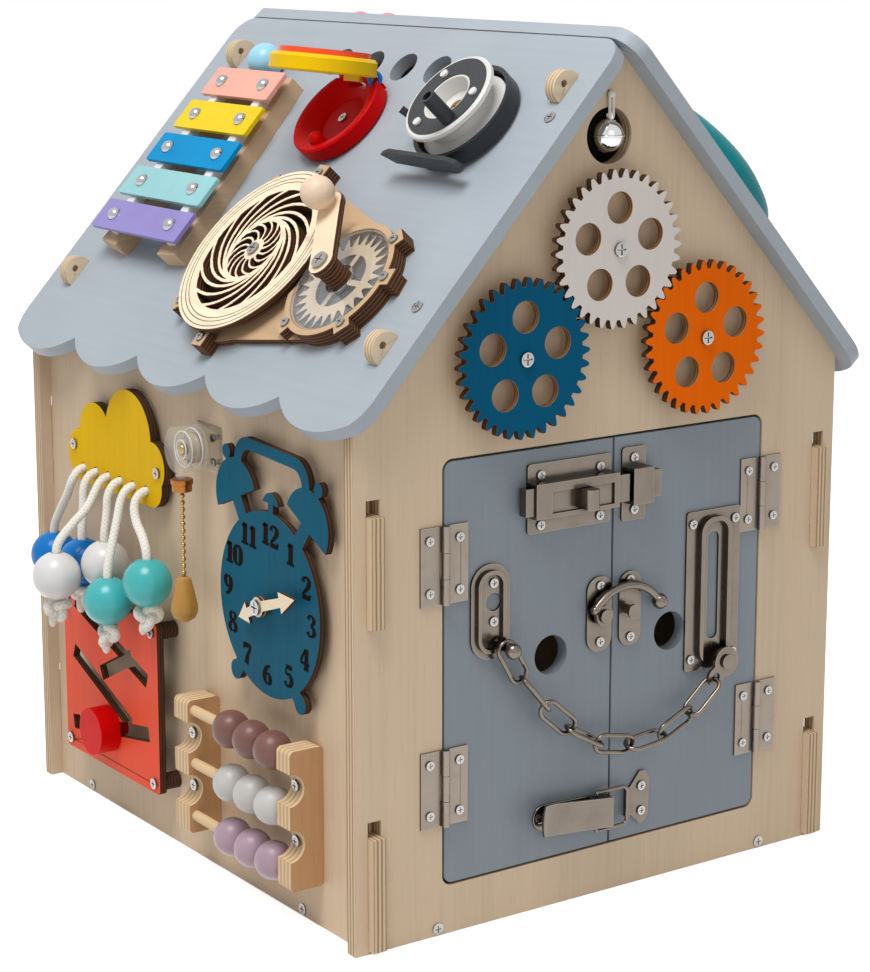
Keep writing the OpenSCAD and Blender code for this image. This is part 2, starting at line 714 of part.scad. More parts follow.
// bell hanging in the round window
bell_r = 9;
bell_depth = -2;
module bell() {
    top = bell_hole[1] + bell_r + 1.4;
    color([0.75, 0.74, 0.72]) on_front(0, 0) {
        translate([bell_hole[0], bell_hole[1], bell_depth]) {
            difference() {
                sphere(bell_r);
                sphere(bell_r - 1.2);
                slab(-6, 6, -12, -3, -0.7, 0.7);
            }
            rotate([90, 0, 0]) rotate_extrude() translate([bell_r, 0]) circle(0.7, $fn = 24);
        }
        translate([bell_hole[0], top, 0]) rotate([0, 90, 0])
            rotate_extrude() translate([2, 0]) circle(0.6, $fn = 24);
        for (m = [-1, 1]) translate([cord_hole[0] + m * 1.2, top, 1.6])
            rotate([-90, 0, 0]) cylinder(r = 0.8, h = cord_hole[1] - top);
        translate([cord_hole[0], top, 1.6]) rotate([0, 0, 180])
            rotate_extrude(angle = 180) translate([1.2, 0]) circle(0.8, $fn = 24);
        translate([cord_hole[0], cord_hole[1], 1.6]) sphere(2);
        translate([cord_hole[0], cord_hole[1], -6]) cylinder(r = 1.2, h = 7);
    }
}

// cloud with six beads on ropes
function cloud_screws() = [[126, 222.5], [23.5, 222.5]];
module cloud_board() {
    color([0.80, 0.65, 0.0]) on_left(0, 0) {
        translate([0, 0, 2.5]) linear_extrude(cloud_t - 2.5) cloud_outline();
        for (p = cloud_screws()) translate([-p[0], p[1], 0]) difference() {
            cylinder(r = 6, h = 2.6);
            translate([0, 0, -1]) cylinder(r = screw_r, h = 5);
        }
    }
}
module cloud_outline() {
    difference() {
        union() {
            translate([-58.5, 238]) circle(27.5, $fn = 96);
            translate([-99.5, 231.5]) circle(20);
            translate([-119.5, 217.5]) circle(15);
            translate([-30, 225]) circle(14.5);
            translate([-31, 213]) circle(12);
            translate([-116, 201]) square([85, 26]);
            translate([-119.5, 213]) circle(12);
        }
        for (y = rope_y) translate([-y, rope_z]) circle(rope_d / 2 + 0.5);
        for (p = cloud_screws()) translate([-p[0], p[1]]) circle(screw_r);
    }
}
function ring_pts(c, u, v, r, n) = [for (i = [0:n - 1]) c + r * (cos(360 * i / n) * u
    + sin(360 * i / n) * v)];
function unit(v) = v / norm(v);
module tube(path, r, n = 10) {
    m = len(path);
    dirs = [for (i = [0:m - 1]) unit(path[min(i + 1, m - 1)] - path[max(i - 1, 0)])];
    side = [for (d = dirs) unit(cross(d, [0.31, 1, 0.17]))];
    pts = [for (i = [0:m - 1]) each ring_pts(path[i], side[i], cross(dirs[i], side[i]), r, n)];
    walls = [for (i = [0:m - 2]) for (j = [0:n - 1]) [i * n + j, i * n + (j + 1) % n,
        (i + 1) * n + (j + 1) % n, (i + 1) * n + j]];
    start = [for (j = [0:n - 1]) n - 1 - j];
    stop = [for (j = [0:n - 1]) (m - 1) * n + j];
    polyhedron(points = pts, faces = [for (f = concat(walls, [start, stop]))
        [for (k = [len(f) - 1:-1:0]) f[k]]]);
}
module hang_rope(y, b) {
    x = -y;
    e = -b[0];
    d = b[2] - 16;
    tube([[x, rope_z, 1], [x, rope_z, 7.5], [x, rope_z - 1.2, 11.6], [x, rope_z - 4.4, 14.7],
        [x + (e - x) * 0.05, rope_z - 9, 16.4 + d * 0.04],
        [x + (e - x) * 0.22, rope_z - 16, 16.5 + d * 0.2],
        [x + (e - x) * 0.6, (rope_z + b[1]) / 2 + 2, 16 + d * 0.6],
        [x + (e - x) * 0.93, b[1] + 19, 16 + d * 0.95],
        [e, b[1] + 12, b[2]], [e, b[1], b[2]], [e, b[1] - 16, b[2]]], rope_d / 2);
    translate([e, b[1] - rope_bead_d / 2 - 3.6, b[2]]) sphere(5, $fn = 32);
    translate([e + 1, b[1] - rope_bead_d / 2 - 8.5, b[2] + 1.5]) sphere(3.8, $fn = 32);
}
module bead_ropes() {
    color([0.88, 0.86, 0.80]) on_left(0, 0) {
        hang_rope(rope_y[0], blue_at[0]);
        hang_rope(rope_y[1], blue_at[1]);
        hang_rope(rope_y[2], white_at[0]);
        hang_rope(rope_y[3], white_at[1]);
        hang_rope(rope_y[4], teal_at[0]);
        hang_rope(rope_y[5], teal_at[1]);
    }
}
module bead_pair(list) {
    for (b = list) on_left(b[0], b[1], b[2]) difference() {
        sphere(rope_bead_d / 2);
        translate([0, -20, 0]) rotate([-90, 0, 0]) cylinder(r = rope_d / 2 + 0.6, h = 40);
    }
}
module blue_beads() {
    color([0.0, 0.35, 0.69]) bead_pair(blue_at);
}
module white_beads() {
    color([0.88, 0.86, 0.86]) bead_pair(white_at);
}
module teal_beads() {
    color([0.29, 0.71, 0.69]) bead_pair(teal_at);
}

// pull switch
function switch_screws() = [[switch_y - 9.5, switch_z + 7], [switch_y - 9.5, switch_z - 7]];
module switch_body() {
    color([0.88, 0.86, 0.80]) on_left(switch_y, switch_z) {
        difference() {
            union() {
                translate([0, 0, 0]) linear_extrude(3) round_rect(-14, 14, -13, 13, 2);
                translate([-2, 0, 2.9]) linear_extrude(9) round_rect(-10, 8, -11, 11, 3);
            }
            for (d = [-7, 7]) translate([9.5, d, -1]) cylinder(r = screw_r, h = 5);
        }
        translate([-2, 0, 7]) cylinder(r = 13, h = 13.5);
        difference() {
            translate([-2, -16.4, pull_h]) rotate([-90, 0, 0]) cylinder(r = 3.2, h = 8);
            translate([-2, -17, pull_h]) rotate([-90, 0, 0]) cylinder(r = 1.8, h = 5.5);
        }
    }
}
module switch_collar() {
    color([0.67, 0.47, 0.24]) on_left(switch_y, switch_z) translate([-2, -23.4, pull_h])
        rotate([-90, 0, 0]) difference() {
            union() {
                cylinder(r = 5.6, h = 4);
                translate([0, 0, 3.9]) cylinder(r = 6.2, h = 3.1);
            }
            translate([0, 0, -1]) cylinder(r = 0.9, h = 9);
        }
}
module pull_chain() {
    color([0.75, 0.58, 0.25]) on_left(switch_y, switch_z) translate([-2, 0, pull_h]) {
        for (i = [0:11]) translate([0, -26 - i * 4, 0]) sphere(1.5, $fn = 24);
        translate([0, -84, 0]) rotate([-90, 0, 0]) cylinder(r = 0.6, h = 65, $fn = 24);
    }
}
module pull_knob() {
    color([0.84, 0.69, 0.39]) on_left(switch_y, switch_z) translate([-2, -98, pull_h])
        rotate([-90, 0, 0]) rotate_extrude() polygon([[0.7, 0], [3, 0.3], [6, 2.4], [7.6, 6],
            [7.4, 10], [5.4, 19], [3.8, 25], [2, 26], [0.7, 26]]);
}

// alarm clock
module clock_shape() {
    circle(clock_r, $fn = 96);
    for (m = [0, 1]) mirror([m, 0]) {
        translate([36, 52]) rotate(-25) {
            intersection() {
                circle(21);
                translate([-22, -1]) square([44, 23]);
            }
            translate([-2, 20]) square([4, 5]);
            translate([0, 25]) circle(4);
        }
        bar2d([20, 30], [36, 53], 9);
        bar2d([20, -34], [33, -46], 9);
        translate([33, -46]) circle(5.5);
    }
    translate([-2.5, 48]) square([5, 9]);
    intersection() {
        translate([0, 54]) circle(8);
        translate([-8, 56]) square([16, 8]);
    }
    difference() {
        round_rect(-38, 38, 50, 87, 14);
        round_rect(-31, 31, 40, 80.5, 9);
        translate([-40, 40]) square([80, 24]);
    }
}
module clock_face() {
    color([0.09, 0.37, 0.49]) on_left(clock_c[0], clock_c[1]) difference() {
        union() {
            translate([0, 0, 4]) linear_extrude(clock_t - 4) rotate(-3) clock_shape();
            cylinder(r = 10, h = 4.1);
        }
        translate([0, 0, -1]) cylinder(r = axle_r, h = clock_t + 2);
    }
}
function arrow(l, w) = [[-5, -3], [l * 0.6, -2.6], [l * 0.6, -w], [l, 0], [l * 0.6, w],
    [l * 0.6, 2.6], [-5, 3]];
module clock_hand(l, w, turn, h) {
    on_left(clock_c[0], clock_c[1], h) rotate(turn) linear_extrude(2) difference() {
        union() {
            polygon(arrow(l, w));
            circle(5.5);
        }
        circle(axle_r + fit);
    }
}
module hour_hand() {
    color([0.80, 0.66, 0.50]) clock_hand(26, 6, 205, clock_t + 3);
}
module minute_hand() {
    color([0.80, 0.66, 0.50]) clock_hand(40, 6, 18, clock_t + 5.3);
}

// maze board with a sliding knob
function maze_screws() = [for (a = [-1, 1]) for (b = [-1, 1])
    [maze_mid[0] + a * (maze_w / 2 - 6), maze_mid[1] + b * (maze_h / 2 - 6)]];
module maze_slot(a, b, w = 9) {
    bar2d([-a[0], a[1]], [-b[0], b[1]], w);
}
module maze_board() {
    color([0.80, 0.31, 0.22]) on_left(0, 0) {
        translate([0, 0, maze_stand]) linear_extrude(maze_t) difference() {
            round_rect(-maze_mid[0] - maze_w / 2, -maze_mid[0] + maze_w / 2,
                maze_mid[1] - maze_h / 2, maze_mid[1] + maze_h / 2, 3);
            maze_slot([118, 128], [29, 99]);
            maze_slot([86, 90], [47, 109]);
            maze_slot([121, 96], [50, 67]);
            maze_slot([124, 50], [28, 67]);
            for (p = maze_screws()) translate([-p[0], p[1]]) circle(screw_r);
        }
        for (p = maze_screws()) translate([-p[0], p[1], 0]) difference() {
            cylinder(r = 5, h = maze_stand + 0.1);
            translate([0, 0, -1]) cylinder(r = screw_r, h = 20);
        }
    }
}
module maze_knob() {
    color([0.84, 0.0, 0.0]) on_left(knob_at[0], knob_at[1]) {
        translate([0, 0, maze_stand + maze_t + 0.4]) cylinder(r = 14, h = 13);
        translate([0, 0, 7]) cylinder(r = 4.1, h = 10);
        translate([0, 0, 6.5]) cylinder(r = 7, h = 3.4);
    }
}

// abacus on the wall
abacus_seat = 12.7;
function abacus_screws() = [[post_left + 7.5, 81.5], [post_left + 7.5, 50.5],
    [post_right - 6.7, 81.5], [post_right - 6.7, 50.5]];
module abacus_post(y0, y1) {
    difference() {
        on_left(y1, 0) rotate([0, -90, 0]) linear_extrude(y0 - y1) difference() {
            round_rect(0, 21, 25, 103, 3);
            for (z = [81.5, 50.5]) translate([21, z]) circle(9);
        }
        for (z = abacus_rows) on_left(post_left + 10.05, z, rod_h) rotate([0, 90, 0])
            cylinder(r = rod_r, h = post_left - post_right + 19.1);
        for (p = abacus_screws()) on_left(p[0], p[1], 0) translate([0, 0, -1])
            cylinder(r = screw_r, h = 30);
    }
}
module abacus_frame() {
    color([0.84, 0.72, 0.56]) {
        abacus_post(post_left + 15, post_left);
        abacus_post(post_right, post_right - 13.5);
        for (z = abacus_rows) on_left(post_left + 10, z, rod_h) rotate([0, 90, 0])
            cylinder(r = rod_r - fit, h = post_left - post_right + 19);
    }
}
module abacus_row(z) {
    r = abacus_bead_d / 2;
    for (i = [0:2]) on_left(bead_first + i * bead_pitch, z, rod_h) rotate([0, 90, 0])
        rotate_extrude() intersection() {
            circle(r);
            translate([rod_r, -r]) square(2 * r);
        }
}
module abacus_beads_top() {
    color([0.43, 0.29, 0.31]) abacus_row(abacus_rows[0]);
}
module abacus_beads_middle() {
    color([0.86, 0.86, 0.86]) abacus_row(abacus_rows[1]);
}
module abacus_beads_bottom() {
    color([0.69, 0.59, 0.71]) abacus_row(abacus_rows[2]);
}

// xylophone
module xylo_rail(m) {
    a = [-(xylo_y + m * (xylo_near[0] / 2 - 1.5)), -57];
    b = [-(xylo_y + m * (xylo_near[4] / 2 + 1.5)), -189];
    color([0.62, 0.50, 0.38]) linear_extrude(11) bar2d(a, b, 20);
    color([0.90, 0.90, 0.90]) translate([0, 0, 11]) linear_extrude(bar_h - 11)
        bar2d(a + unit(b - a) * 10, b - unit(b - a) * 7, 8);
}
module xylophone_frame() {
    on_roof(0, 0) {
        xylo_rail(-1);
        xylo_rail(1);
    }
}
bar_colours = [[0.98, 0.65, 0.55], [0.98, 0.84, 0.0], [0.0, 0.55, 0.84], [0.57, 0.86, 0.86],
    [0.57, 0.49, 0.80]];
module xylophone_bars() {
    for (i = [0:4]) color(bar_colours[i]) on_roof(xylo_y, xylo_s[i], bar_h) linear_extrude(bar_t)
        round_rect(-xylo_len[i] / 2, xylo_len[i] / 2, -10.4, 10.4, 1.5);
}

// half-round rope eyelets
module roof_eyelets() {
    color([0.86, 0.76, 0.60]) for (e = eyelet_at) on_roof(e[0], e[1])
        translate([-4, 0, 0]) rotate([90, 0, 90]) linear_extrude(8) difference() {
            intersection() {
                translate([0, 1]) circle(9.5);
                translate([-20, 0]) square([40, 20]);
            }
            translate([0, 4.4]) circle(2);
        }
}

// clapper: two hollow round shells hinged along a flat on the upper side
module shell_body(t) {
    intersection() {
        rotate_extrude() polygon([[0, 0], [shell_r - 2, 0], [shell_r, 2], [shell_r, t - 1],
            [shell_r - 1, t], [shell_r - 4, t], [16, 4.5], [15, 3], [0, 3]]);
        translate([-50, -50, -1]) cube([100, 50 + hinge_y - 1.6, 40]);
    }
}
module clapper_base() {
    color([0.75, 0.04, 0.08]) on_roof(shell_at[0], shell_at[1]) {
        difference() {
            union() {
                shell_body(shell_t);
                translate([3, -21.5, 4]) cylinder(r = 4.2, h = 7);
                translate([3, -21.5, 10.9]) sphere(4.2);
            }
            translate([0, 0, -1]) cylinder(r = screw_r, h = 6);
            translate([0, hinge_y, shell_t]) rotate([0, 90, 0])
                cylinder(r = 6.2, h = 17.2, center = true);
        }
        for (m = [-1, 1]) translate([m * 12, hinge_y, 0]) difference() {
            union() {
                translate([-3, -4, 0]) cube([6, 6.8, 7]);
                translate([-3, -2.8, 6.9]) cube([6, 5.6, shell_t - 6.9]);
                translate([-3, 0, shell_t]) rotate([0, 90, 0]) cylinder(r = 2.8, h = 6);
            }
            translate([-5, 0, shell_t]) rotate([0, 90, 0]) cylinder(r = 1.5, h = 10);
        }
    }
}
module clapper_lid() {
    on_roof(shell_at[0], shell_at[1]) translate([0, hinge_y, shell_t]) rotate([-lid_open, 0, 0]) {
        color([0.86, 0.72, 0.0]) {
            difference() {
                translate([0, -hinge_y, 10.4]) mirror([0, 0, 1]) shell_body(10);
                for (m = [0, 1]) mirror([m, 0, 0]) translate([8.6, -6, -8]) cube([8, 20, 30]);
            }
            rotate([0, 90, 0]) cylinder(r = 1.45, h = 29.6, center = true);
            translate([-8.2, -4, -2.6]) cube([16.4, 6, 8]);
        }
        color([0.92, 0.31, 0.14]) translate([0, -hinge_y, 10.2])
            cylinder(r = shell_r - 5, h = 3.4);
    }
}

// round knobs and the half ball on the far side
module roof_knobs() {
    color([0.67, 0.86, 0.94]) on_roof(ball_at[0], ball_at[1]) difference() {
        translate([0, 0, ball_r - 1]) sphere(ball_r);
        translate([-20, -20, -20]) cube([40, 40, 20]);
    }
    color([0.0, 0.53, 0.55]) on_right_roof(dome_at[0], dome_at[1]) rotate_extrude($fn = 96)
        polygon(concat([for (a = [0:15:75]) [dome_r * pow(cos(a), 0.52), dome_h * sin(a)]],
            [[0, dome_h], [0, 0]]));
    color([0.94, 0.47, 0.51]) for (y = [58, 88]) on_right_roof(y, 12) difference() {
        translate([0, 0, 4]) sphere(9);
        translate([-20, -20, -20]) cube([40, 40, 20]);
    }
}

// fishing reel toy
module reel_frame() {
    color([0.18, 0.18, 0.20]) on_roof(reel_at[0], reel_at[1]) {
        difference() {
            union() {
                cylinder(r = 14, h = 3);
                translate([0, 0, 2.9]) cylinder(r = reel_r, h = 9);
                translate([-8, -reel_r - 1.5, 3]) cube([16, 6, 8]);
                translate([-reel_r + 1.5, -8, 3]) cylinder(r = 4, h = 6);
            }
            translate([0, 0, 6]) cylinder(r = reel_r - 2.5, h = 10);
            translate([0, 0, -1]) cylinder(r = axle_r, h = 20);
        }
        translate([0, -reel_r - 0.8, 0]) rotate([90, 0, 0]) linear_extrude(2.6)
            polygon([[-39, 14.5], [-30, 8], [24, 6], [30, 8], [32, 11.5], [30, 15], [24, 17],
                [-30, 17.5]]);
        translate([-reel_r, -8, 6]) rotate([0, -30, 0]) cylinder(r = 2.2, h = 16);
    }
}
module reel_spool() {
    bore = axle_r + fit;
    on_roof(reel_at[0], reel_at[1]) {
        color([0.88, 0.87, 0.85]) rotate_extrude() polygon([[bore, 7], [27.5, 7], [27.5, 8.6],
            [21.5, 11], [20.5, 16], [24, 19.6], [28.5, 21], [28.5, 23.2], [27.6, 24], [25.9, 24],
            [25.9, 22.9], [15.4, 22.9], [15.4, 24], [14, 24], [11.5, 15.6], [bore, 13.5]]);
        color([0.18, 0.18, 0.20]) {
            translate([0, 0, 22.8]) linear_extrude(1.7) difference() {
                circle(26);
                circle(15.3);
            }
            rotate(-43) translate([20.8, 0, 24.4]) difference() {
                cylinder(r = 4.3, h = 18.5);
                translate([0, 0, 15]) cylinder(r = 2.8, h = 6);
            }
        }
        color([0.88, 0.87, 0.85]) for (a = [137, 12, -116]) rotate(a) translate([20.6, 0, 24.4])
            cylinder(r = 2.4, h = 1.3);
    }
}

// spiral toy with its crank
function spiral_tabs() = [for (a = [92, 52, 0, -42, -92]) [spiral_at[0] + 57.5 * cos(a),
    spiral_at[1] - 57.5 * sin(a)]];
function crank_tabs() = [for (a = [128, 170, 222, -60]) [crank_at[0] + 37 * cos(a),
    crank_at[1] - 37 * sin(a)]];
module tab_set(list, o) {
    for (p = list) translate([-(p[0] - o[0]), -(p[1] - o[1])])
        rotate(atan2(-(p[1] - o[1]), -(p[0] - o[0]))) translate([-7, -5]) square([12.5, 10]);
}
module spiral_base() {
    d = [-(crank_at[0] - spiral_at[0]), -(crank_at[1] - spiral_at[1])];
    n = norm(d);
    g = asin((spiral_r - crank_r - 4) / n);
    a = atan2(d[1], d[0]);
    e = spiral_r + 1;
    f = crank_r + 4;
    color([0.80, 0.66, 0.50]) on_roof(spiral_at[0], spiral_at[1]) difference() {
        union() {
            linear_extrude(4) union() {
                circle(e, $fn = 96);
                translate(d) circle(f, $fn = 96);
                polygon([(e - 1.5) * [cos(a + 90 - g), sin(a + 90 - g)],
                    d + (f - 1.5) * [cos(a + 90 - g), sin(a + 90 - g)],
                    d + (f - 1.5) * [cos(a - 90 + g), sin(a - 90 + g)],
                    (e - 1.5) * [cos(a - 90 + g), sin(a - 90 + g)]]);
                tab_set(spiral_tabs(), spiral_at);
                translate(d) tab_set(crank_tabs(), crank_at);
            }
            translate([0, 0, 3.9]) linear_extrude(spiral_h - 3.9) {
                difference() {
                    tab_set(spiral_tabs(), spiral_at);
                    circle(e - 2.6, $fn = 96);
                }
                translate(d) difference() {
                    tab_set(crank_tabs(), crank_at);
                    circle(f - 1, $fn = 96);
                }
                difference() {
                    translate(d) circle(f, $fn = 96);
                    translate(d) circle(crank_r - 1, $fn = 96);
                    circle(spiral_r + 1.5, $fn = 96);
                }
            }
        }
        for (p = spiral_tabs()) translate([-(p[0] - spiral_at[0]), -(p[1] - spiral_at[1]), 3.5])
            cylinder(r = screw_r, h = 30);
        for (p = crank_tabs()) translate([-(p[0] - spiral_at[0]), -(p[1] - spiral_at[1]), 3.5])
            cylinder(r = screw_r, h = 30);
        translate([0, 0, -1]) cylinder(r = axle_r, h = 20);
        translate([d[0], d[1], -1]) cylinder(r = axle_r + 0.2, h = 20);
        translate([d[0], d[1], cover_h]) cylinder(r = crank_r + 0.3, h = 20, $fn = 96);
    }
}
function spin_pt(r, a) = [r * cos(a), r * sin(a)];
// slots between curved strips of one width t: the outer strips run into the ring inside them,
// the inner ones leave the hub straight and bend the other way
function outer_r(q) = slot_in + (slot_out - slot_in) * q * q;
function outer_w(q, t) = 180 / slot_n - t / 2 / (outer_r(q) * sin(atan(2 * (slot_out - slot_in) * q
    / (outer_r(q) * slot_sweep * PI / 180)))) * 180 / PI;
function inner_r(q) = hub_r + (slot_in - 2 - hub_r) * q;
function inner_w(q, t) = 180 / slot_n - t / 2 / (inner_r(q) * cos(atan(2 * q * inner_r(q)
    * hub_sweep * PI / 180 / (slot_in - 2 - hub_r)))) * 180 / PI;
module outer_slot(t) {
    q = [for (i = [0:10]) slot_from + (1 - slot_from) * i / 10];
    polygon(concat(
        [for (v = q) spin_pt(outer_r(v), -slot_sweep * v - outer_w(v, t))],
        [for (k = [-1:1]) spin_pt(slot_out, -slot_sweep + outer_w(1, t) * k / 2)],
        [for (i = [10:-1:0]) spin_pt(outer_r(q[i]), -slot_sweep * q[i] + outer_w(q[i], t))]));
}
module inner_slot(t) {
    q = [for (i = [0:6]) i / 6];
    polygon(concat(
        [for (v = q) spin_pt(inner_r(v), hub_sweep * v * v - inner_w(v, t))],
        [for (k = [-1:1]) spin_pt(inner_r(1), hub_sweep + inner_w(1, t) * k / 2)],
        [for (i = [6:-1:0]) spin_pt(inner_r(q[i]), hub_sweep * q[i] * q[i] + inner_w(q[i], t))]));
}
module spiral_disc() {
    color([0.90, 0.78, 0.62]) on_roof(spiral_at[0], spiral_at[1]) difference() {
        union() {
            translate([0, 0, 4.4]) linear_extrude(spiral_h - 4.3) circle(spiral_r - 8, $fn = 96);
            translate([0, 0, spiral_h + 1.8]) linear_extrude(2.4) circle(spiral_r, $fn = 96);
            translate([0, 0, spiral_h]) cylinder(r = spiral_r - 6, h = 2);
        }
        translate([0, 0, -1]) cylinder(r = axle_r + fit, h = 30);
        translate([0, 0, spiral_h - 4]) linear_extrude(20) {
            for (i = [0:slot_n - 1]) rotate(i * 360 / slot_n) {
                outer_slot(2);
                inner_slot(1.4);
            }
        }
    }
}
module crank_cover() {
    d = [-(crank_at[0] - spiral_at[0]), -(crank_at[1] - spiral_at[1])];
    f = crank_r + 0.2;
    color([0.80, 0.82, 0.84]) on_roof(spiral_at[0], spiral_at[1], cover_h) linear_extrude(2.5)
        difference() {
        translate(d) circle(f, $fn = 96);
        translate(d) circle(9);
        circle(spiral_r - 6.5, $fn = 96);
    }
}
module crank() {
    color([0.88, 0.76, 0.60]) on_roof(crank_at[0], crank_at[1]) {
        difference() {
            union() {
                translate([0, 0, 4.6]) linear_extrude(2.4) difference() {
                    polygon([for (i = [0:25]) for (k = [[23.5, -0.38], [31, 0], [23.5, 0.38]])
                        spin_pt(k[0], (i + k[1]) * 360 / 26)]);
                    difference() {
                        circle(17);
                        circle(7.5);
                        for (a = [0, 90]) rotate(a) translate([-20, -1.8]) square([40, 3.6]);
                    }
                }
                translate([0, 0, 6.9]) cylinder(r = 7, h = 14.2);
                translate([0, 0, 21]) linear_extrude(4) {
                    circle(8);
                    rotate(arm_turn) translate([0, -7.8]) square([arm_l, 15.6]);
                    rotate(arm_turn) translate([arm_l, 0]) circle(8);
                }
            }
            translate([0, 0, 2]) cylinder(r = axle_r + fit, h = 30);
        }
        rotate(arm_turn) translate([arm_l, 0, 24.9]) {
            cylinder(r = 4, h = 4);
            translate([0, 0, 10]) sphere(9.4);
        }
    }
}

front_wall();
back_wall();
left_wall();
right_wall();
floor_panel();
left_roof();
right_roof();
house_screws();
wall_hinge_leaves();
left_door();
left_hinge_leaves();
left_door_screws();
bolt_housing();
hook_base();
chain_anchor();
toggle_base();
right_door();
right_hinge_leaves();
right_door_screws();
door_keepers();
chain_track();
bolt_slide();
hook_arm();
toggle_lever();
toggle_loop();
door_chain();
blue_gear();
white_gear();
orange_gear();
bell();
cloud_board();
bead_ropes();
blue_beads();
white_beads();
teal_beads();
switch_body();
switch_collar();
pull_chain();
pull_knob();
clock_face();
hour_hand();
minute_hand();
maze_board();
maze_knob();
abacus_frame();
abacus_beads_top();
abacus_beads_middle();
abacus_beads_bottom();
xylophone_frame();
xylophone_bars();
roof_eyelets();
clapper_base();
clapper_lid();
roof_knobs();
reel_frame();
reel_spool();
spiral_base();
spiral_disc();
crank_cover();
crank();
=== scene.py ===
import math
import bpy
from mathutils import Matrix, Vector


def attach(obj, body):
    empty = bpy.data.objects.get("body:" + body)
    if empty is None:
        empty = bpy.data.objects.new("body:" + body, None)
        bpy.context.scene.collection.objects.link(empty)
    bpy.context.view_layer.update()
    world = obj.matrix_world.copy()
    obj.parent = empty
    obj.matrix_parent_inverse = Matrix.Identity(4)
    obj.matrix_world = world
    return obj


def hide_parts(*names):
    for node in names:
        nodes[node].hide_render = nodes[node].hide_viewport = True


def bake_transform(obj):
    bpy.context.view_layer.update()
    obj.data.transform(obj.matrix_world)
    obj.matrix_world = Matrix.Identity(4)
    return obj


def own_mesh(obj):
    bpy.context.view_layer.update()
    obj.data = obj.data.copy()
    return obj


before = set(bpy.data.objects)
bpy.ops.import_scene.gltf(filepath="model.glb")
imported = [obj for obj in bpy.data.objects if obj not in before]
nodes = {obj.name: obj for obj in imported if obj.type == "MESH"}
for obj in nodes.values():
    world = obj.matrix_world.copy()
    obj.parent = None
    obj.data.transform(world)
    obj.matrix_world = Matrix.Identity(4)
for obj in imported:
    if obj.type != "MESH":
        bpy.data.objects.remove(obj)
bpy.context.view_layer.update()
scene = bpy.context.scene
scene.view_settings.view_transform = "Standard"

# ---------------------------------------------------------------- the part's own frame
MM = 0.001
PITCH = math.radians(47.7)
CB, SB = math.cos(PITCH), math.sin(PITCH)
LEFT_X, FRONT_Y, RIDGE = -157.0, -180.0, 473.6
AX, AY, AZ = Vector((1, 0, 0)), Vector((0, 1, 0)), Vector((0, 0, 1))
ROOF_N = Vector((-SB, 0, CB))
ROOF_UP = Vector((CB, 0, SB))


def left(y, z, h=0.0):
    """A point on the left wall: millimetres along the depth, up, and out from the wall."""
    return Vector((LEFT_X - h, y, z)) * MM


def roof(y, s, h=0.0):
    """A point on the left roof: millimetres along the depth, down the slope, and out from it."""
    return Vector((-s * CB - h * SB, y, RIDGE - s * SB + h * CB)) * MM


# ---------------------------------------------------------------- camera
camera = bpy.data.objects.new("camera", bpy.data.cameras.new("camera"))
scene.collection.objects.link(camera)
camera.location = (-0.8367, -1.2134, 0.5295)
camera.rotation_euler = (math.radians(78.47), 0.0, math.radians(-35.0))
camera.data.sensor_width = 36.0
camera.data.sensor_fit = "AUTO"
camera.data.lens = 93.2
camera.data.shift_x = -0.0024
camera.data.shift_y = -0.0516
camera.data.clip_start = 0.01
scene.camera = camera


# ---------------------------------------------------------------- material kit
def rgb(r, g, b):
    """An sRGB colour, 0 to 255, as linear RGBA."""
    def lin(v):
        v /= 255.0
        return v / 12.92 if v <= 0.04045 else ((v + 0.055) / 1.055) ** 2.4
    return (lin(r), lin(g), lin(b), 1.0)


def shade(colour, k):
    """The colour made k times as bright."""
    return tuple(min(1.0, c * k) for c in colour[:3]) + (1.0,)


